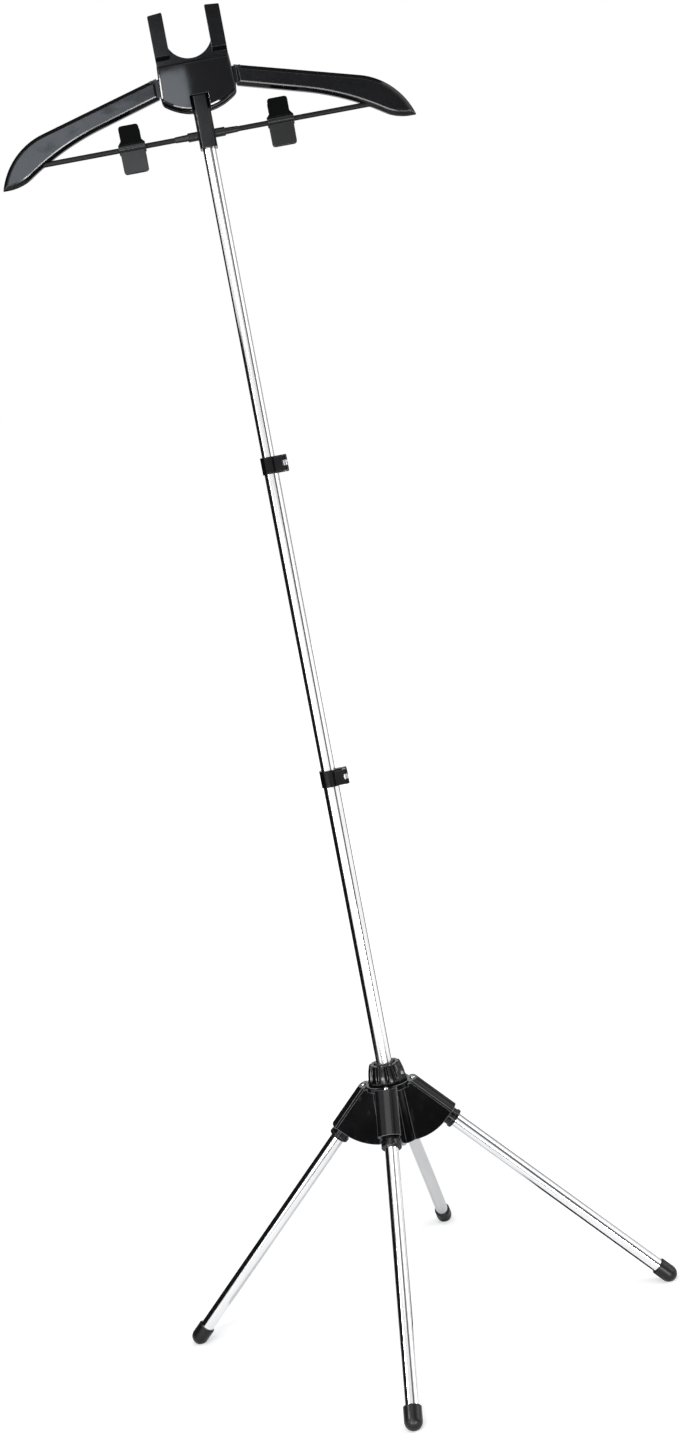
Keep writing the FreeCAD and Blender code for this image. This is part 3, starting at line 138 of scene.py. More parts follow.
# Softened edges: a rounded normal along sharp edges, and a mask of where they are.
soft_edge, given, last = start_group(
    "soft_edge", [("Radius", "NodeSocketFloat", 0.0004)], ("Normal", "Edge"))
bevelled = put(soft_edge, "ShaderNodeBevel", {"Radius": given["Radius"]}, samples=6)
plain = put(soft_edge, "ShaderNodeNewGeometry").outputs["Normal"]
bend = put(soft_edge, "ShaderNodeVectorMath",
           {0: bevelled.outputs["Normal"], 1: plain}, operation="DOT_PRODUCT")
edge = put(soft_edge, "ShaderNodeMapRange",
           {"Value": bend.outputs["Value"], "From Min": 0.995, "From Max": 0.8})
feed(soft_edge, last, {"Normal": bevelled.outputs["Normal"], "Edge": edge.outputs["Result"]})

# Settled dust: a thin film on what faces up, broken by noise.
settled_dust, given, last = start_group(
    "settled_dust", [("Amount", "NodeSocketFloat", 0.2)], ("Dust",))
lie = put(settled_dust, "ShaderNodeSeparateXYZ",
          {0: put(settled_dust, "ShaderNodeNewGeometry").outputs["Normal"]})
upward = put(settled_dust, "ShaderNodeMapRange",
             {"Value": lie.outputs["Z"], "From Min": 0.2, "From Max": 0.95})
spot = put(settled_dust, "ShaderNodeTexCoord").outputs["Object"]
specks = put(settled_dust, "ShaderNodeTexNoise",
             {"Vector": spot, "Scale": 900.0, "Detail": 5.0, "Roughness": 0.7})
thick = put(settled_dust, "ShaderNodeMapRange",
            {"Value": specks.outputs["Fac"], "From Min": 0.35, "From Max": 0.75})
film = times(settled_dust, upward.outputs["Result"], thick.outputs["Result"])
feed(settled_dust, last, {"Dust": times(settled_dust, film, given["Amount"])})


def moulding(name, colour, edge_wear_and_highlight, rough, grain, edge, dust, specular=0.5):
    """A moulded finish: speckled skin, pale edges, dust, wandering gloss and a fine grain.

    The pale edges are partly rubbed wear and partly a painted highlight along every edge.
    rough holds its least and greatest roughness, grain the strength and scale of its texture,
    and edge the radius of its pale edges."""
    speckle = 0.25
    grain_depth = 0.00005
    dust_tone = (0.32, 0.31, 0.3, 1)
    material, tree, shader = start_finish(name)
    skin = place_group(tree, skin_grain, Scale=grain[1])
    hand = place_group(tree, handling, Low=rough[0], High=rough[1])
    edges = place_group(tree, soft_edge, Radius=edge)
    film = place_group(tree, settled_dust, Amount=dust)
    deep, pale = ((*(share * c for c in colour), 1) for share in (1 - speckle, 1 + speckle))
    tint = blend(tree, skin["Speckle"], deep, pale)
    # Painted highlight: sharp edges take a pale tone that stands in for light along them, with some rubbed
    # wear.
    worn_and_highlit = blend(tree, edges["Edge"], tint, (*edge_wear_and_highlight, 1))
    bump = put(tree, "ShaderNodeBump", {"Height": skin["Height"], "Normal": edges["Normal"],
                                        "Strength": grain[0], "Distance": grain_depth})
    feed(tree, shader, {"Base Color": blend(tree, film["Dust"], worn_and_highlit, dust_tone),
                        "Roughness": hand["Roughness"], "Normal": bump.outputs["Normal"],
                        "Specular IOR Level": specular})
    return material


sides = ("right", "rear", "left", "front")
foot_rubber = moulding("foot_rubber", (0.005, 0.005, 0.005), edge_wear_and_highlight=(0.02, 0.02, 0.02), rough=(0.3, 0.5),
                       grain=(0.5, 1600.0), edge=0.0006, dust=0.06, specular=0.3)
coat(["foot_" + side for side in sides], foot_rubber)


# Legs
# Four straight round tubes of bright drawn aluminium, plugged into the hub.
# Fine lines from drawing run along each of them.

drawn_lines, given, last = start_group(
    "drawn_lines", [("Turn", "NodeSocketVector", (0.0, 0.0, 0.0))], ("Height", "Roughness", "Cloud"))
spot = put(drawn_lines, "ShaderNodeTexCoord").outputs["Object"]
upended = put(drawn_lines, "ShaderNodeVectorRotate", {"Vector": spot, "Rotation": given["Turn"]},
              rotation_type="EULER_XYZ", invert=True)
pulled = put(drawn_lines, "ShaderNodeMapping",
             {"Vector": upended.outputs["Vector"], "Scale": (1400.0, 1400.0, 7.0)})
line = put(drawn_lines, "ShaderNodeTexNoise",
           {"Vector": pulled.outputs["Vector"], "Scale": 1.0, "Detail": 4.0})
cloud = put(drawn_lines, "ShaderNodeTexNoise", {"Vector": spot, "Scale": 24.0, "Detail": 4.0})
gloss = put(drawn_lines, "ShaderNodeMapRange",
            {"Value": line.outputs["Fac"], "From Min": 0.3, "From Max": 0.7, "To Min": 0.07, "To Max": 0.16})
feed(drawn_lines, last, {"Height": line.outputs["Fac"], "Roughness": gloss.outputs["Result"],
                         "Cloud": cloud.outputs["Fac"]})


def bright_tube(name, pale, deep, turn):
    """Polished drawn tube, with its lines along its own length."""
    material, tree, shader = start_finish(name)
    lines = place_group(tree, drawn_lines, Turn=turn)
    bump = put(tree, "ShaderNodeBump", {"Height": lines["Height"], "Strength": 0.06, "Distance": 0.00002})
    feed(tree, shader, {"Base Color": blend(tree, lines["Cloud"], (*deep, 1), (*pale, 1)),
                        "Roughness": lines["Roughness"], "Normal": bump.outputs["Normal"],
                        "Metallic": 1.0})
    return material


leg_turn = math.radians(-8.2)
leg_slope = math.radians(46)
leg_ways = [leg_turn + quarter * math.pi / 2 for quarter in range(4)]
for side, leg_way in zip(sides, leg_ways):
    leg_tube = bright_tube("leg_tube_" + side, (0.84, 0.84, 0.85), (0.7, 0.7, 0.71),
                           (0.0, math.pi / 2 + leg_slope, leg_way))
    coat(["leg_" + side], leg_tube)


# Hub and leg collars
# The hub is one large black moulding with four arms; a collar closes each of its sockets.
# Glossy nylon, with pale edges along the hub's arms: painted highlight lines, with some rubbed wear.

black = (0.004, 0.004, 0.0045)
# Painted highlight: the hub's edges take a pale grey that stands in for the light lines along them.
hub_plastic = moulding("hub_plastic", black, edge_wear_and_highlight=(0.42, 0.42, 0.43), rough=(0.1, 0.2),
                       grain=(0.1, 2600.0), edge=0.0011, dust=0.05, specular=0.25)
coat(["hub"], hub_plastic)
collar_plastic = moulding("collar_plastic", black, edge_wear_and_highlight=(0.1, 0.1, 0.105), rough=(0.1, 0.2),
                          grain=(0.1, 2600.0), edge=0.0008, dust=0.05, specular=0.25)
coat(["leg_collar_" + side for side in sides], collar_plastic)


# Hub screws
# One pan-head screw on each arm of the hub, zinc-plated steel with a cross recess.
# The heads are set down at chance angles.

mm = 0.001
screw_circle = 26.5 * mm
hub_screw_head = 5.6 * mm
hub_screw_rise = 1.6 * mm


def show(name, data):
    """A new object in the scene."""
    piece = bpy.data.objects.new(name, data)
    bpy.context.scene.collection.objects.link(piece)
    return piece


def solid(name, rings, joined=False):
    """A closed mesh through rings of points, with flat ends, or joined back on itself."""
    weld = 0.002 * mm
    work = bmesh.new()
    loops = [[work.verts.new(point) for point in ring] for ring in rings]
    for low, high in zip(loops, loops[1:] + loops[:1] if joined else loops[1:]):
        for corner in range(len(low)):
            work.faces.new((low[corner - 1], low[corner], high[corner], high[corner - 1]))
    if not joined:
        work.faces.new(loops[0])
        work.faces.new(loops[-1])
    bmesh.ops.remove_doubles(work, verts=work.verts, dist=weld)
    bmesh.ops.recalc_face_normals(work, faces=work.faces)
    mesh = bpy.data.meshes.new(name)
    work.to_mesh(mesh)
    work.free()
    return show(name, mesh)


def turned(profile, count=48):
    """Rings of a turned shape from its radius and height at each step."""
    angles = [2 * math.pi * step / count for step in range(count)]
    return [[Vector((radius * math.cos(a), radius * math.sin(a), height)) for a in angles]
            for radius, height in profile]


def box_solid(name, low, high):
    """A plain block between two corners."""
    flat = [(low[0], low[1]), (high[0], low[1]), (high[0], high[1]), (low[0], high[1])]
    return solid(name, [[Vector((x, y, height)) for x, y in flat] for height in (low[2], high[2])])


def settle(piece):
    """Turns a piece's modifiers into its plain mesh."""
    view = bpy.context.evaluated_depsgraph_get()
    view.update()
    made = bpy.data.meshes.new_from_object(piece.evaluated_get(view))
    piece.modifiers.clear()
    old, piece.data = piece.data, made
    made.name = piece.name
    bpy.data.meshes.remove(old)


def combine(piece, others, operation):
    """Adds solids to a piece or cuts them out of it, and takes them out of the scene."""
    for other in others:
        step = piece.modifiers.new("combine", "BOOLEAN")
        step.operation = operation
        step.solver = "EXACT"
        step.object = other
    settle(piece)
    for other in others:
        bpy.data.objects.remove(other)
    return piece


def smooth(piece, sharp):
    """Smooth shading that keeps flat faces flat, with edges above an angle kept sharp."""
    piece.data.shade_smooth()
    piece.data.set_sharp_from_angle(angle=math.radians(sharp))
    step = piece.modifiers.new("flat_faces", "WEIGHTED_NORMAL")
    step.keep_sharp = True
    step.weight = 100
    settle(piece)


def steel(name, pale, deep, rough, smudge_size):
    """Bright steel with darker handling marks and a roughness that wanders."""
    material, tree, shader = start_finish(name)
    hand = place_group(tree, handling, Low=rough[0], High=rough[1], Size=smudge_size)
    feed(tree, shader, {"Base Color": blend(tree, hand["Marks"], (*pale, 1), (*deep, 1)),
                        "Roughness": hand["Roughness"], "Metallic": 1.0})
    return material


def start_shaping(name, **inputs):
    """An empty Geometry Nodes group with named inputs, and what it is given."""
    group = bpy.data.node_groups.new(name, "GeometryNodeTree")
    for socket, kind in inputs.items():
        group.interface.new_socket(socket, in_out="INPUT", socket_type="NodeSocket" + kind)
    group.interface.new_socket("Geometry", in_out="OUTPUT", socket_type="NodeSocketGeometry")
    return group, group.nodes.new("NodeGroupInput").outputs


def end_shaping(group, shape, finish):
    """Gives a group's shape its finish and hands it on."""
    coated = put(group, "GeometryNodeSetMaterial", {"Geometry": shape, "Material": finish})
    feed(group, group.nodes.new("NodeGroupOutput"), {"Geometry": coated.outputs["Geometry"]})


def shape_by(piece, group, **values):
    """Runs a piece through a Geometry Nodes group, with values for its named inputs."""
    step = piece.modifiers.new(group.name, "NODES")
    step.node_group = group
    for socket in group.interface.items_tree:
        if socket.in_out == "INPUT" and socket.name in values:
            step[socket.identifier] = values[socket.name]
    settle(piece)


plated = steel("plated_steel", (0.78, 0.78, 0.8), (0.55, 0.55, 0.57), rough=(0.12, 0.35), smudge_size=300.0)

# Screw set: a screw on every point, each turned by chance about its own axis.
screw_set, given = start_shaping(
    "screw_set", Geometry="Geometry", Screw="Object", Tilt="Vector", Seed="Int", Finish="Material")
one = put(screw_set, "GeometryNodeObjectInfo", {"Object": given["Screw"]})
chance = put(screw_set, "FunctionNodeRandomValue",
             {0: (0.0, 0.0, 0.0), 1: (0.0, 0.0, math.pi / 2), "Seed": given["Seed"]},
             data_type="FLOAT_VECTOR")
tilt = put(screw_set, "FunctionNodeEulerToRotation", {"Euler": given["Tilt"]})
spin = put(screw_set, "FunctionNodeEulerToRotation", {"Euler": chance.outputs["Value"]})
stand = put(screw_set, "FunctionNodeRotateRotation",
            {"Rotation": tilt.outputs["Rotation"], "Rotate By": spin.outputs["Rotation"]},
            rotation_space="LOCAL")
points = put(screw_set, "GeometryNodeMeshToPoints", {"Mesh": given["Geometry"]})
each = put(screw_set, "GeometryNodeInstanceOnPoints",
           {"Points": points.outputs[0], "Instance": one.outputs["Geometry"],
            "Rotation": stand.outputs["Rotation"]})
whole = put(screw_set, "GeometryNodeRealizeInstances", {"Geometry": each.outputs["Instances"]})
end_shaping(screw_set, whole.outputs["Geometry"], given["Finish"])


def screws(name, places, tilt, shank, length, head, rise, seed):
    """Pan-head screws at given places, with the undersides of their heads there."""
    dome_angles = (1.55, 1.3, 1.05, 0.8, 0.55, 0.3, 0.08)
    dome_fullness = 0.6
    recess = (head * 0.36, head * 0.075)
    recess_floor = rise * 0.35
    pin = [(shank / 4, -length), (shank / 2, shank / 2 - length), (shank / 2, 0), (head / 2, 0)]
    dome = [(head / 2 * math.sin(a), rise * math.cos(a) ** dome_fullness) for a in dome_angles]
    one = solid("one_screw", turned(pin + dome))
    arms = [box_solid("recess", (-x, -y, recess_floor), (x, y, rise * 2)) for x, y in (recess, recess[::-1])]
    combine(one, arms, "DIFFERENCE")
    smooth(one, sharp=30)
    mesh = bpy.data.meshes.new(name)
    mesh.from_pydata(places, [], [])
    piece = show(name, mesh)
    shape_by(piece, screw_set, Screw=one, Tilt=tilt, Seed=seed, Finish=plated)
    bpy.data.objects.remove(one)
    return piece


hub_screw_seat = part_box("hub_screws")[1][2] - hub_screw_rise
hub_places = [(screw_circle * math.cos(way), screw_circle * math.sin(way), hub_screw_seat)
              for way in leg_ways]
hub_screws = screws("hub_screw_set", hub_places, tilt=(0, 0, 0), shank=3 * mm, length=8 * mm,
                    head=hub_screw_head, rise=hub_screw_rise, seed=4)
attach(hub_screws, "base")
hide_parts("hub_screws")


# Collet, grip ring and hand nut
# The hand nut screws down on a ring that squeezes the slotted collet on to the pole.
# Glossy black mouldings; the collet and ring inside are plain grey nylon.

nut_plastic = moulding("nut_plastic", black, edge_wear_and_highlight=(0.03, 0.03, 0.033), rough=(0.1, 0.22),
                       grain=(0.06, 2600.0), edge=0.0006, dust=0.04, specular=0.3)
inner_plastic = moulding("inner_plastic", (0.06, 0.06, 0.065), edge_wear_and_highlight=(0.1, 0.1, 0.1), rough=(0.4, 0.6),
                         grain=(0.3, 1800.0), edge=0.0003, dust=0.05)
coat(["collet", "grip_ring"], inner_plastic)

nut_low, nut_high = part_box("collet_nut")
nut_base = 20.7 * mm
nut_crown = 17 * mm
nut_bore = 11 * mm
nut_thread = 13.3 * mm
nut_rim = 2.8 * mm
nut_chamfer = 0.5 * mm
nut_step = 0.7 * mm
nut_swell = 0.5 * mm
nut_round = 1.8 * mm
nut_mouth = 0.6 * mm
nut_roof = 3.5 * mm
groove_count = 12.0
groove_depth = 2.6 * mm
groove_start = 0.6 * mm
groove_fade = 2 * mm
groove_inner = 2 * mm
groove_wall = 3 * mm

# Fluting: presses a ring of rounded finger grooves into a turned shape, fading out below and inside.
fluting, given = start_shaping(
    "fluting", Geometry="Geometry", Count="Float", Depth="Float", Low="Float", Inner="Float",
    Finish="Material")
spot = put(fluting, "ShaderNodeSeparateXYZ",
           {0: put(fluting, "GeometryNodeInputPosition").outputs["Position"]})
angle = put(fluting, "ShaderNodeMath", {0: spot.outputs["Y"], 1: spot.outputs["X"]}, operation="ARCTAN2")
wave = put(fluting, "ShaderNodeMath",
           {0: times(fluting, angle.outputs["Value"], given["Count"])}, operation="COSINE")
groove = put(fluting, "ShaderNodeMapRange",
             {"Value": wave.outputs["Value"], "From Min": 0.1, "From Max": 1.0},
             interpolation_type="SMOOTHSTEP")
faded = put(fluting, "ShaderNodeMath", {0: given["Low"], 1: groove_fade})
rise = put(fluting, "ShaderNodeMapRange",
           {"Value": spot.outputs["Z"], "From Min": given["Low"], "From Max": faded.outputs["Value"]},
           interpolation_type="SMOOTHSTEP")
flat = put(fluting, "ShaderNodeCombineXYZ", {"X": spot.outputs["X"], "Y": spot.outputs["Y"]})
radius = put(fluting, "ShaderNodeVectorMath", {0: flat.outputs["Vector"]}, operation="LENGTH")
walled = put(fluting, "ShaderNodeMath", {0: given["Inner"], 1: groove_wall})
outer = put(fluting, "ShaderNodeMapRange",
            {"Value": radius.outputs["Value"], "From Min": given["Inner"],
             "From Max": walled.outputs["Value"]})
strength = times(fluting, groove.outputs["Result"], rise.outputs["Result"])
strength = times(fluting, strength, outer.outputs["Result"])
inward = times(fluting, times(fluting, strength, given["Depth"]), -1.0)
outward = put(fluting, "ShaderNodeVectorMath", {0: flat.outputs["Vector"]}, operation="NORMALIZE")
push = put(fluting, "ShaderNodeVectorMath",
           {0: outward.outputs["Vector"], "Scale": inward}, operation="SCALE")
pressed = put(fluting, "GeometryNodeSetPosition",
              {"Geometry": given["Geometry"], "Offset": push.outputs["Vector"]})
end_shaping(fluting, pressed.outputs["Geometry"], given["Finish"])

foot, top = nut_low[2], nut_high[2]
flank_base = nut_base - nut_step
flank_foot = foot + nut_rim + nut_chamfer
flank_rise = top - nut_round - foot - nut_rim - nut_chamfer
flank_steps = 14
round_steps = 6
profile = [(nut_thread, foot), (nut_base - nut_chamfer, foot),
           (nut_base, foot + nut_chamfer), (nut_base, foot + nut_rim)]
for step in range(flank_steps + 1):
    share = step / flank_steps
    profile.append((flank_base - (flank_base - nut_crown) * share + nut_swell * math.sin(math.pi * share),
                    flank_foot + flank_rise * share))
for step in range(1, round_steps + 1):
    bend = math.pi / 2 / round_steps * step
    profile.append((nut_crown - nut_round * (1 - math.cos(bend)), top - nut_round * (1 - math.sin(bend))))
profile += [(nut_bore + nut_mouth, top), (nut_bore, top - nut_mouth),
            (nut_bore, top - nut_roof), (nut_thread, top - nut_roof)]
hand_nut = solid("hand_nut", turned(profile, count=240), joined=True)
shape_by(hand_nut, fluting, Count=groove_count, Depth=groove_depth, Low=foot + nut_rim + groove_start,
         Inner=nut_bore + groove_inner, Finish=nut_plastic)
smooth(hand_nut, sharp=45)
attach(hand_nut, "collet_nut")
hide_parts("collet_nut")


# Pole
# Three bright tubes that slide in one another, drawn like the legs, with their lines upright.
# The plug and the guide bushes inside them are of the collet's grey nylon.

pole_tube = bright_tube("pole_tube", (0.84, 0.84, 0.85), (0.7, 0.69, 0.69), (0.0, 0.0, 0.0))
coat(["lower_tube", "middle_tube", "upper_tube"], pole_tube)
coat(["pole_end_plug", "middle_bush", "upper_bush"], inner_plastic)


# Height clamps
# A split band round the top of each tube, drawn tight by a flip lever on an eye bolt.
# Black nylon band and lever; the bolt, pin and nut are bright steel.

clamp_plastic = moulding("clamp_plastic", black, edge_wear_and_highlight=(0.09, 0.09, 0.095), rough=(0.12, 0.26),
                         grain=(0.1, 2600.0), edge=0.0006, dust=0.05, specular=0.16)
chrome = steel("chromed_steel", (0.46, 0.46, 0.48), (0.3, 0.3, 0.31), rough=(0.12, 0.3), smudge_size=220.0)
for which in ("lower", "upper"):
    coat([which + "_clamp_band", which + "_clamp_lever"], clamp_plastic)
    coat([which + "_clamp_bolt", which + "_clamp_pin", which + "_clamp_nut"], chrome)


# Stem and covers
# The stem is pressed on the upper tube; two shield-shaped shells close over its top.
# Glossy black mouldings; the front shell has a crowned face, a chamfer and a notch for the stem.

cool_black = (0.004, 0.004, 0.0048)
cover_plastic = moulding("cover_plastic", cool_black, edge_wear_and_highlight=(0.2, 0.2, 0.21), rough=(0.05, 0.14),
                         grain=(0.05, 2600.0), edge=0.0006, dust=0.04, specular=0.25)
stem_plastic = moulding("stem_plastic", black, edge_wear_and_highlight=(0.2, 0.2, 0.21), rough=(0.12, 0.26),
                        grain=(0.06, 2600.0), edge=0.0008, dust=0.04, specular=0.25)
coat(["stem", "rear_cover"], stem_plastic)

cover_low, cover_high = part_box("front_cover")
stem_low, stem_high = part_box("stem")
stem_foot = stem_low[2]
cover_top_half = 36.5 * mm
cover_half = 38.3 * mm
cover_corner = stem_foot + 51.2 * mm
cover_corner_round = 7 * mm
cover_bottom_round = 60 * mm
cover_depth = 8 * mm
cover_wall = 2 * mm
cover_bend = 620 * mm
cover_bow = 1500 * mm
cover_middle = Vector((0, stem_foot + 62 * mm))
cover_notch = stem_foot + 52 * mm
notch_half = 9.6 * mm
rib_wall = 1.8 * mm
rib_lap = 0.3 * mm
rib_front = 0.75 * cover_wall
rib_foot = 1.1 * cover_wall
rib_back = 0.05 * mm
front, rim = cover_low[1], cover_low[1] + cover_depth


def arc(centre, radius, start, end, steps):
    """Points along an arc, from one angle to another."""
    return [centre + radius * Vector((math.cos(a), math.sin(a)))
            for a in (start + (end - start) * step / steps for step in range(steps + 1))]


def straight(start, end, steps):
    """Points along a line, without its end."""
    return [start.lerp(end, step / steps) for step in range(steps)]


def shield(inset):
    """The covers' outline, drawn in by an even amount: flat top, leaning sides, round bottom."""
    top = cover_high[2] - inset
    head = Vector((cover_top_half - inset, top))
    bottom_round = cover_bottom_round - inset
    corner_round = cover_corner_round - inset
    centre = Vector((0, cover_corner + math.sqrt(cover_bottom_round ** 2 - cover_half ** 2)))
    heel = Vector((cover_half - inset, centre.y - math.sqrt(bottom_round ** 2 - (cover_half - inset) ** 2)))
    down = (heel - head).normalized()
    inner = Vector((down.y, -down.x))
    start = head + inner * corner_round - centre
    reach = start.dot(down) ** 2 - start.length_squared + (bottom_round - corner_round) ** 2
    pivot = centre + start + down * (-start.dot(down) + math.sqrt(reach))
    first = math.atan2(-inner.y, -inner.x)
    last = math.atan2(pivot.y - centre.y, pivot.x - centre.x)
    right = straight(Vector((0, top)), head, steps=10)
    right += straight(head, pivot - inner * corner_round, steps=14)
    right += arc(pivot, corner_round, first, last, steps=10)
    right += arc(centre, bottom_round, last, -math.pi / 2, steps=18)[1:]
    return right + [Vector((-p.x, p.y)) for p in right[-2:0:-1]]


def upright(points, depth):
    """Points of an outline seen from the front, at one depth."""
    return [Vector((p.x, depth, p.y)) for p in points]


def crowned(points, lift):
    """Points of an outline on the cover's crowned face, lifted behind it."""
    return [Vector((p.x, front + lift + p.x ** 2 / (2 * cover_bend)
                    + (p.y - cover_middle.y) ** 2 / (2 * cover_bow), p.y)) for p in points]


cover_edge = ((0, 2.4), (0.9, 0.9), (2.4, 0.1), (2.8, 0))
face_shares = (0.96, 0.9, 0.82, 0.73, 0.63, 0.53, 0.43, 0.33, 0.23, 0.13, 0.04)
rings = [crowned(shield(cover_wall), cover_wall), upright(shield(cover_wall), rim), upright(shield(0), rim)]
rings += [crowned(shield(inset * mm), lift * mm) for inset, lift in cover_edge]
face = shield(cover_edge[-1][0] * mm)
rings += [crowned([cover_middle.lerp(p, share) for p in face], 0) for share in face_shares]
front_cover = solid("front_shell", rings)
ribs = []
for mirror in (-1, 1):
    near, far = sorted((mirror * (notch_half - rib_lap), mirror * (notch_half + rib_wall)))
    ribs.append(box_solid("rib", (near, front + rib_front, cover_low[2] + rib_foot),
                          (far, rim - rib_back, stem_high[2])))
combine(front_cover, ribs, "UNION")
notch = box_solid("notch", (-notch_half, front - cover_wall, cover_low[2] - cover_wall),
                  (notch_half, rim + cover_wall, cover_notch))
combine(front_cover, [notch], "DIFFERENCE")
front_cover.data.materials.append(cover_plastic)
smooth(front_cover, sharp=12)
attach(front_cover, "upper_section")
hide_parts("front_cover")

cover_screw_head = 5.6 * mm
cover_screw_rise = 1.8 * mm
post_reach = 24 * mm
post_height = stem_foot + 65.5 * mm
screw_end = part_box("cover_screws")[1]
seat = screw_end[1] - cover_screw_rise
cover_places = [(-post_reach, seat, post_height), (post_reach, seat, post_height),
                (0, seat, screw_end[2] - cover_screw_head / 2)]
cover_screws = screws("cover_screw_set", cover_places, tilt=(-math.pi / 2, 0, 0), shank=2.4 * mm,
                      length=12 * mm, head=cover_screw_head, rise=cover_screw_rise, seed=7)
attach(cover_screws, "upper_section")
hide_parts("cover_screws")


# Steam head rest and hanger arms
# A fork stands between the covers, and a hanger arm leaves them on each side.
# Satin black mouldings; each arm has a raised face inside a sloping border, and a tongue at its root.

fork_plastic = moulding("fork_plastic", (0.005, 0.005, 0.0056), edge_wear_and_highlight=(0.06, 0.06, 0.065),
                        rough=(0.12, 0.25), grain=(0.08, 2600.0), edge=0.0008, dust=0.04, specular=0.16)
coat(["fork"], fork_plastic)
arm_plastic = moulding("arm_plastic", cool_black, edge_wear_and_highlight=(0.3, 0.3, 0.31), rough=(0.12, 0.26),
                       grain=(0.05, 2600.0), edge=0.0007, dust=0.04, specular=0.22)

arm_root = 39.4 * mm
arm_root_top = stem_foot + 76.4 * mm
arm_root_bottom = stem_foot + 55.8 * mm
arm_shoulder = 161.5 * mm
arm_pitch = math.radians(15)
arm_shoulder_round = 70.9 * mm
arm_under_pitch = math.radians(15.5)
arm_steep = math.radians(33)
arm_drop = 80.3 * mm
arm_toe = 4.8 * mm
arm_hollow_round = 50 * mm


def arm_outline(above, below):
    """The right arm's outline, drawn in above and below.

    It has a straight back, a round shoulder, a short toe, a hollow and a belly."""
    back = Vector((math.sin(arm_pitch), math.cos(arm_pitch)))
    under = Vector((math.sin(arm_under_pitch), math.cos(arm_under_pitch)))
    fall = Vector((math.sin(arm_steep), math.cos(arm_steep)))
    shoulder = Vector((arm_shoulder, arm_root_top - (arm_shoulder - arm_root) * math.tan(arm_pitch)))
    crest = shoulder - arm_shoulder_round * back
    low = arm_root_top - arm_drop
    toe = Vector((crest.x + math.sqrt(arm_shoulder_round ** 2 - (low - crest.y) ** 2) - arm_toe, low))
    hollow = toe + Vector((0, arm_hollow_round))
    steep = hollow - arm_hollow_round * fall
    rise = arm_root_bottom - (steep.x - arm_root) * math.tan(arm_under_pitch) - steep.y
    belly = rise / (math.tan(arm_steep) - math.tan(arm_under_pitch)) / math.cos(arm_steep)
    belly_round = belly / math.tan((arm_steep - arm_under_pitch) / 2)
    pivot = steep - belly_round * fall

    shoulder_round = arm_shoulder_round - above
    hollow_round = arm_hollow_round - below
    belly_round += below
    tip = Vector((crest.x + math.sqrt(shoulder_round ** 2 - (low + below - crest.y) ** 2), low + below))
    if tip.x < toe.x:
        apart = hollow - crest
        along = (shoulder_round ** 2 - hollow_round ** 2 + apart.length_squared) / (2 * apart.length)
        aside = math.sqrt(shoulder_round ** 2 - along ** 2)
        way = apart.normalized()
        tip = crest + way * along + Vector((way.y, -way.x)) * aside
    heel = hollow - Vector((0, hollow_round)) if tip.x > toe.x else tip
    heel_way = heel - hollow
    root = arm_root + below
    root_top = Vector((root, arm_root_top - above / back.y - below * math.tan(arm_pitch)))
    root_bottom = Vector((root, arm_root_bottom + below / under.y - below * math.tan(arm_under_pitch)))
    quarter = math.pi / 2
    points = straight(root_bottom, root_top, steps=10)
    points += straight(root_top, crest + shoulder_round * back, steps=24)
    tip_way = tip - crest
    points += arc(crest, shoulder_round, quarter - arm_pitch, math.atan2(tip_way.y, tip_way.x), steps=36)
    points += straight(tip, heel, steps=3)[1:]
    points += arc(hollow, hollow_round, math.atan2(heel_way.y, heel_way.x), -quarter - arm_steep, steps=14)
    points += arc(pivot, belly_round, quarter - arm_steep, quarter - arm_under_pitch, steps=16)[1:]
    return points + straight(points[-1], root_bottom, steps=16)[1:]


# Rings of an arm from back to front: drawn in above, drawn in below, and depth, in millimetres.
arm_rings = ((2.4, 2.4, 12), (1.2, 1.2, 11.68), (0.4, 0.4, 10.9), (0, 0, 9.6),
             (0, 0, 5.2), (0.3, 0.3, 4.4), (3.4, 2.7, 0.75), (4.7, 4.0, 0))
arm_low, arm_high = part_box("right_arm")
arm_front, arm_back = arm_low[1], arm_high[1]
tongue_inset = 2.1 * mm
tongue_low = (30 * mm, arm_front + tongue_inset, stem_foot + 57.5 * mm)
tongue_high = (46 * mm, arm_back - tongue_inset, stem_foot + 74.5 * mm)
for side, mirror in (("left", -1), ("right", 1)):
    rings = [[Vector((p.x * mirror, arm_front + depth * mm, p.y))
              for p in arm_outline(above * mm, below * mm)] for above, below, depth in arm_rings]
    arm = solid(side + "_hanger_arm", rings)
    near, far = sorted((tongue_low[0] * mirror, tongue_high[0] * mirror))
    combine(arm, [box_solid("tongue", (near, *tongue_low[1:]), (far, *tongue_high[1:]))], "UNION")
    arm.data.materials.append(arm_plastic)
    smooth(arm, sharp=12)
    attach(arm, "upper_section")
    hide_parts(side + "_arm")


# Trouser bar and clips
# The bar is coated steel in two halves, each with a clip that slides and is sprung shut.
# A clip is two like halves with a jaw, a matt grip and knuckles on the barrel, and a coiled spring;
# the grip on the tabs is darker than the rest, a painted shade.

bar_coat = moulding("bar_coat", (0.008, 0.008, 0.008), edge_wear_and_highlight=(0.05, 0.05, 0.05), rough=(0.35, 0.5),
                    grain=(0.15, 2000.0), edge=0.0003, dust=0.03, specular=0.15)
coat(["left_bar", "right_bar"], bar_coat)
clip_plastic = moulding("clip_plastic", black, edge_wear_and_highlight=(0.08, 0.08, 0.085), rough=(0.16, 0.34),
                        grain=(0.1, 2600.0), edge=0.0006, dust=0.04, specular=0.3)
# Painted shade: the tabs take a darker, duller black than the rest of the clip.
grip_plastic = moulding("grip_plastic", (0.0015, 0.0015, 0.0015), edge_wear_and_highlight=(0.02, 0.02, 0.02), rough=(0.5, 0.7),
                        grain=(0.5, 1500.0), edge=0.0006, dust=0.02, specular=0.03)

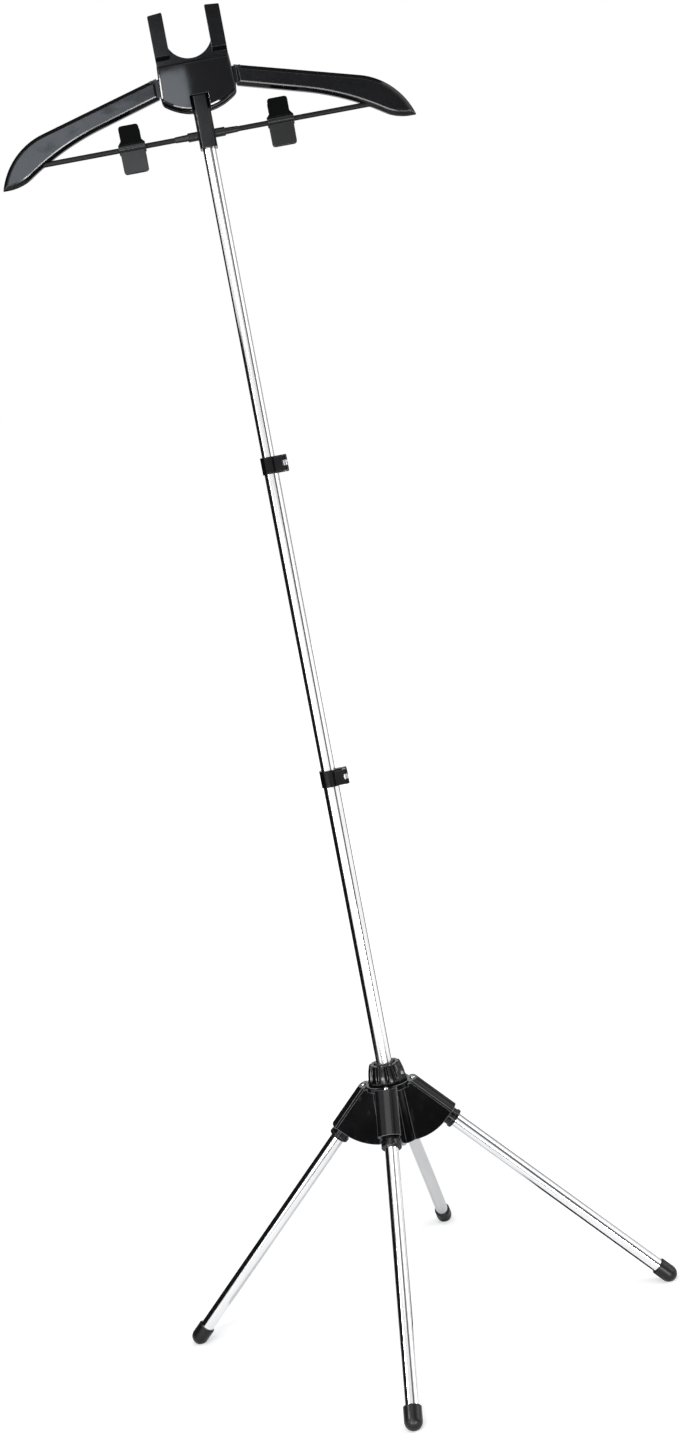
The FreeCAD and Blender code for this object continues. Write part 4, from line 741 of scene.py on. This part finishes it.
clip_half = 13.5 * mm
clip_plate = 2 * mm
clip_corner = 3 * mm
clip_edge = 0.6 * mm
tab_half = 10.25 * mm
tab_rise = 21.5 * mm
tab_shoulder = 3.4 * mm
tab_shoulder_round = 1.5 * mm
tab_waist = 7.2 * mm
tab_waist_round = 3 * mm
tab_front = -6.96 * mm
tab_lean = -math.tan(math.radians(8))
jaw_half = 12.5 * mm
jaw_drop = 24.5 * mm
jaw_front = -7.72 * mm
jaw_root_depth = 7.56
jaw_lip_depth = 2.35
jaw_fall = 23.75
jaw_lean = -(jaw_root_depth - jaw_lip_depth) / jaw_fall
housing_round = 3.9 * mm
housing_depth = 5.9 * mm
housing_back = -5.2 * mm
housing_bevel = 0.4 * mm
housing_end = 0.9
knuckle_round = 5.26 * mm
knuckle_bore = 3.76 * mm
knuckle_width = 3.5 * mm
knuckle_gap = 0.3 * mm
cheek_half = 3 * mm
cheek_back = -1.5 * mm
spring_wire = 0.5 * mm
wire_sides = 12
tail_wire = spring_wire * 0.94
spring_mean = 4.35 * mm
spring_turns = 5
spring_pitch = 2.1 * mm
spring_rise = spring_pitch / (2 * math.pi)
spring_leg = 9 * mm
spring_lean = math.radians(8)
coil_start = math.pi + spring_lean
coil_end = 2 * math.pi * spring_turns - spring_lean
coil_steps = 120
tail_steps = 12


def rounded(points, rounding):
    """A polygon with some corners rounded: a radius for each corner, or 0 for a sharp one."""
    made = []
    for place, point in enumerate(points):
        if not rounding[place]:
            made.append(point)
            continue
        back = (points[place - 1] - point).normalized()
        on = (points[(place + 1) % len(points)] - point).normalized()
        half = back.angle(on) / 2
        centre = point + (back + on).normalized() * rounding[place] / math.sin(half)
        first = point + back * rounding[place] / math.tan(half) - centre
        last = point + on * rounding[place] / math.tan(half) - centre
        start = math.atan2(first.y, first.x)
        sweep = (math.atan2(last.y, last.x) - start + math.pi) % (2 * math.pi) - math.pi
        made += arc(centre, rounding[place], start, start + sweep, steps=6)
    return made


def drawn_in(points, inset):
    """An outline drawn in by an even amount, with its corners kept sharp."""
    count = len(points)
    area = sum(points[place - 1].x * points[place].y - points[place].x * points[place - 1].y
               for place in range(count))
    inner = 1 if area > 0 else -1
    moved = []
    for place, point in enumerate(points):
        before = (point - points[place - 1]).normalized()
        after = (points[(place + 1) % count] - point).normalized()
        first, second = (Vector((-way.y, way.x)) * inner for way in (before, after))
        moved.append(point + (first + second) * inset / (1 + first.dot(second)))
    return moved


def plate(name, outline, front, lean):
    """A plate with soft front edges, whose face leans: front is its depth at height 0."""
    rings = []
    for inset, depth in ((0, clip_plate), (0, clip_edge), (clip_edge * 0.3, clip_edge * 0.3), (clip_edge, 0)):
        rings.append([Vector((p.x, front + lean * p.y + depth, p.y)) for p in drawn_in(outline, inset)])
    return solid(name, rings)


def coil_way(angle, on=0):
    """A place along the spring's wire and the way it runs there, or that far on in a straight line."""
    place = Vector((spring_rise * (angle - (coil_start + coil_end) / 2),
                    spring_mean * math.cos(angle), spring_mean * math.sin(angle)))
    way = Vector((spring_rise, -spring_mean * math.sin(angle), spring_mean * math.cos(angle))).normalized()
    return place + way * on, way, angle


def wire(name, path, radius):
    """A round wire along a path of places, ways and angles about the bar."""
    rings = []
    for place, way, angle in path:
        out = Vector((0, math.cos(angle), math.sin(angle)))
        across = way.cross(out)
        rings.append([place + radius * (math.cos(a) * out + math.sin(a) * across)
                      for a in (2 * math.pi / wire_sides * step for step in range(wire_sides))])
    return solid(name, rings)


tab_shape = [Vector(p) for p in ((-clip_half, 0), (clip_half, 0), (clip_half, tab_shoulder),
                                 (tab_half, tab_waist), (tab_half, tab_rise), (-tab_half, tab_rise),
                                 (-tab_half, tab_waist), (-clip_half, tab_shoulder))]
tab_outline = rounded(tab_shape, (0, 0, tab_shoulder_round, tab_waist_round, clip_corner, clip_corner,
                                  tab_waist_round, tab_shoulder_round))
jaw_shape = [Vector(p) for p in ((-jaw_half, -jaw_drop), (jaw_half, -jaw_drop),
                                 (jaw_half, 0), (-jaw_half, 0))]
jaw_outline = rounded(jaw_shape, (clip_corner, clip_corner, 0, 0))
half_turn = [math.pi * (0.5 + step / 24) for step in range(25)]
section = [Vector((0, housing_round * math.cos(a) - housing_depth, housing_round * math.sin(a)))
           for a in half_turn]
section += [Vector((0, housing_back, -housing_round)), Vector((0, housing_back, housing_round))]
hold = Vector((0, housing_back, 0))
housing_steps = ((-clip_half, housing_end), (housing_bevel - clip_half, 1.0),
                 (clip_half - housing_bevel, 1.0), (clip_half, housing_end))
housing_rings = [[hold.lerp(p, share) + Vector((x, 0, 0)) for p in section] for x, share in housing_steps]
coil_turn = [coil_start + (coil_end - coil_start) * step / coil_steps for step in range(coil_steps + 1)]
tail_turn = [coil_end - math.pi / 2 + math.pi / 2 * step / tail_steps for step in range(tail_steps + 1)]
coil_path = [coil_way(coil_start, -spring_leg)] + [coil_way(a) for a in coil_turn]
tail_path = [coil_way(a) for a in tail_turn] + [coil_way(coil_end, spring_leg)]
along_bar = Matrix.Rotation(math.pi / 2, 4, "Y")
for side in ("left", "right"):
    coat([side + "_bar_sleeve", side + "_clip_barrel"], clip_plastic)
    barrel_low, barrel_high = (Vector(c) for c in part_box(side + "_clip_barrel"))
    axis = (barrel_low + barrel_high) / 2
    coil = wire(side + "_spring_coil", coil_path, spring_wire)
    tail = wire(side + "_spring_leg", tail_path, tail_wire)
    for piece, body in ((coil, "_clip_front"), (tail, "_clip_rear")):
        piece.data.transform(Matrix.Translation(axis))
        piece.data.materials.append(plated)
        smooth(piece, sharp=50)
        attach(piece, side + body)
    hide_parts(side + "_clip_spring")
    for half, shown, reach in (("front", "face", clip_half),
                               ("rear", "back", clip_half - knuckle_width - knuckle_gap)):
        tab = plate("tab", tab_outline, tab_front, tab_lean)
        jaw = plate("jaw", jaw_outline, jaw_front, jaw_lean)
        jaws = solid("housing", housing_rings)
        knuckles = []
        for end in (-reach, reach - knuckle_width):
            ring = solid("knuckle", turned([(knuckle_round, end), (knuckle_round, end + knuckle_width)]))
            ring.data.transform(along_bar)
            cheek = box_solid("cheek", (end, -housing_depth, -cheek_half),
                              (end + knuckle_width, cheek_back, cheek_half))
            knuckles += [ring, cheek]
        bore = solid("bore", turned([(knuckle_bore, -clip_half * 2), (knuckle_bore, clip_half * 2)]))
        bore.data.transform(along_bar)
        combine(jaws, [tab, jaw] + knuckles, "UNION")
        combine(jaws, [bore], "DIFFERENCE")
        jaws.name = side + "_clip_" + shown
        if half == "rear":
            jaws.data.transform(Matrix.Diagonal((1, -1, 1, 1)))
            jaws.data.flip_normals()
        jaws.data.transform(Matrix.Translation(axis))
        jaws.data.materials.append(clip_plastic)
        jaws.data.materials.append(grip_plastic)
        # The tabs, above the barrel, take the darker grip finish that paints in their shade.
        for polygon in jaws.data.polygons:
            polygon.material_index = 1 if polygon.center.z > axis.z + housing_round else 0
        smooth(jaws, sharp=20)
        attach(jaws, side + "_clip_" + half)
        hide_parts(side + "_clip_" + half)


# Studio
# A pale floor that runs out to white, with soft boxes in front, above and on the right.
# Boards and strips that only glossy faces see draw the dark and light lines on tubes and edges.

scene = bpy.context.scene
scene.view_settings.view_transform = "Standard"


def seen_directly(tree):
    """Whether a ray comes straight from the camera or from a mirror or glass."""
    path = put(tree, "ShaderNodeLightPath").outputs
    either = put(tree, "ShaderNodeMath", {0: path["Is Camera Ray"], 1: path["Is Glossy Ray"]},
                 operation="MAXIMUM")
    return put(tree, "ShaderNodeMath", {0: either.outputs["Value"], 1: path["Is Transmission Ray"]},
               operation="MAXIMUM").outputs["Value"]


sky_light = 0.5
sky_seen = 1.0
world = bpy.data.worlds.new("studio")
scene.world = world
world.use_nodes = True
tree = world.node_tree
bright = put(tree, "ShaderNodeMix", {0: seen_directly(tree), 2: sky_light, 3: sky_seen})
feed(tree, tree.nodes["Background"], {"Strength": bright.outputs[0], "Color": (1, 1, 1, 1)})


def aimed(centre, aim, axis):
    """Where something stands that has one of its axes turned towards a point."""
    way = (Vector(aim) - Vector(centre)).to_track_quat(axis, "Y").to_matrix().to_4x4()
    return Matrix.Translation(centre) @ way


def sheet(name, corners):
    """A flat sheet of the studio between four corners."""
    mesh = bpy.data.meshes.new(name)
    mesh.from_pydata(corners, [], [(0, 1, 2, 3)])
    piece = show(name, mesh)
    return piece


def mirrored_sheet(name, corners, shade):
    """A dull grey sheet that is seen in glossy faces alone."""
    piece = sheet(name, corners)
    material, tree, shader = start_finish(name)
    feed(tree, shader, {"Base Color": (shade, shade, shade, 1), "Roughness": 1.0, "Specular IOR Level": 0.0})
    piece.data.materials.append(material)
    piece.visible_camera = False
    piece.visible_shadow = False
    piece.visible_diffuse = False


def board(name, centre, width, height, aim, shade):
    """A rectangular sheet turned towards a point."""
    place = aimed(centre, aim, "Z")
    x, y = width / 2, height / 2
    mirrored_sheet(name, [place @ Vector(c) for c in ((-x, -y, 0), (x, -y, 0), (x, y, 0), (-x, y, 0))], shade)


board("dark_board_left", (-0.506, 0.523, 1.3), 1.17, 2.6, (0, 0, 1.3), 0.01)
board("dark_board_left_low", (-0.89, -0.12, 0.575), 0.5, 1.15, (0, 0, 0.575), 0.01)
board("dark_board_right", (0.83, -0.96, 1.3), 0.5, 2.6, (0, 0, 1.3), 0.15)
board("grey_board_back", (0.422, 0.738, 1.3), 0.8, 2.6, (0, 0, 1.3), 0.3)
board("dark_board_high", (-0.1, -2.12, 2.075), 2.6, 1.05, (-0.1, 0, 2.075), 0.8)
board("dark_board_top", (0, 0.1, 1.78), 1.0, 0.9, (0, 0.1, 0), 0.01)
board("dark_board_low", (-0.1, -0.8, 0.001), 0.9, 0.7, (-0.1, -0.8, 1), 0.02)
board("dark_board_low_right", (0.6, -0.15, 0.001), 0.5, 1.1, (0.6, -0.15, 1), 0.02)
board("grey_board_under", (0.05, 0.22, 0.001), 0.5, 0.45, (0.05, 0.22, 1), 0.97)
mirrored_sheet("dark_board_under_right", [(0.02, -0.035, 0.002), (0.27, -0.04, 0.002), (0.285, 0.01, 0.002),
                                          (0.11, 0.17, 0.002)], 0.02)

floor_reach = 12
floor = sheet("floor", [(-floor_reach, -floor_reach, 0), (floor_reach, -floor_reach, 0),
                        (floor_reach, floor_reach, 0), (-floor_reach, floor_reach, 0)])
paper, tree, shader = start_finish("floor_paper")
spot = put(tree, "ShaderNodeTexCoord").outputs["Object"]
away = put(tree, "ShaderNodeVectorMath", {0: spot}, operation="LENGTH")
glow = put(tree, "ShaderNodeMapRange", {"Value": away.outputs["Value"], "From Min": 0.5, "From Max": 2.5,
                                        "To Min": 0.4, "To Max": 0.7})
feed(tree, shader, {"Base Color": (0.9, 0.9, 0.9, 1), "Roughness": 0.9, "Emission Color": (1, 1, 1, 1),
                    "Emission Strength": times(tree, seen_directly(tree), glow.outputs["Result"])})
floor.data.materials.append(paper)


def soft_box(name, centre, aim, width, height, power, gloss_only=False, tint=(1, 1, 1)):
    """A rectangular lamp turned towards a point, or only its mirror image in glossy faces."""
    lamp = bpy.data.lights.new(name, "AREA")
    lamp.shape = "RECTANGLE"
    lamp.size = width
    lamp.size_y = height
    lamp.energy = power
    lamp.color = tint
    piece = show(name, lamp)
    piece.matrix_world = aimed(centre, aim, "-Z")
    piece.visible_diffuse = not gloss_only


soft_box("front_box", (-0.71, -2.05, 1.575), (-0.71, 0, 1.575), 1.26, 0.55, 16.2, tint=(0.84, 0.91, 1.0))
soft_box("key_lamp", (-0.75, -2.0, 1.95), (0, 0, 0.8), 0.1, 0.1, 4)
soft_box("front_low_box", (-0.5, -2.05, 0.66), (-0.5, 0, 0.66), 1.1, 0.36, 3.0, tint=(0.9, 0.95, 1.0))
soft_box("left_strip", (-1.4, -0.72, 1.64), (0, 0, 1.3), 0.3, 0.24, 11.5, gloss_only=True)
soft_box("low_strip_right", (0.48, -1.2, 0.06), (0.48, 0, 1.3), 0.34, 0.16, 9, gloss_only=True)
soft_box("low_strip_middle", (0.13, -1.2, 0.06), (0.13, 0, 1.3), 0.36, 0.16, 2.2, gloss_only=True)
soft_box("low_strip_left", (-0.4, -1.2, 0.06), (-0.4, 0, 1.3), 0.5, 0.16, 5, gloss_only=True)
soft_box("cover_strip_left", (-0.55, -1.2, 0.26), (0, 0, 1.28), 0.6, 0.16, 6, gloss_only=True)
soft_box("clamp_strip", (-1.2, -0.9, 0.65), (0, 0, 0.65), 0.1, 0.9, 2.9, gloss_only=True)
soft_box("right_box", (1.6, -0.3, 1.2), (0, 0, 1.0), 0.25, 1.6, 9)
soft_box("top_box", (-0.3, -0.8, 2.6), (0, 0, 0.25), 1.2, 0.8, 7)


# Camera
# It stands 2 m in front of the pole, looks down a little, and is rolled so that the pole leans.
# Its focal length is given in pixels, for a frame that is so many pixels high.

pitch = 0.103
yaw = 0.011
roll = -0.188
stand_point = (0, -1.9651, 0.8501)
sensor = 36
focal_pixels = 1904.55
frame_pixels = 1436
ahead = Vector((math.sin(yaw) * math.cos(pitch), math.cos(yaw) * math.cos(pitch), -math.sin(pitch)))
sideways = Vector((math.cos(yaw), -math.sin(yaw), 0))
above = sideways.cross(ahead)
frame_right = math.cos(roll) * sideways + math.sin(roll) * above
frame_up = math.cos(roll) * above - math.sin(roll) * sideways
lens = bpy.data.cameras.new("view")
lens.sensor_width = sensor
lens.lens = sensor * focal_pixels / frame_pixels
camera = show("view", lens)
facing = Matrix((frame_right, frame_up, -ahead)).transposed().to_4x4()
camera.matrix_world = Matrix.Translation(stand_point) @ facing
scene.camera = camera
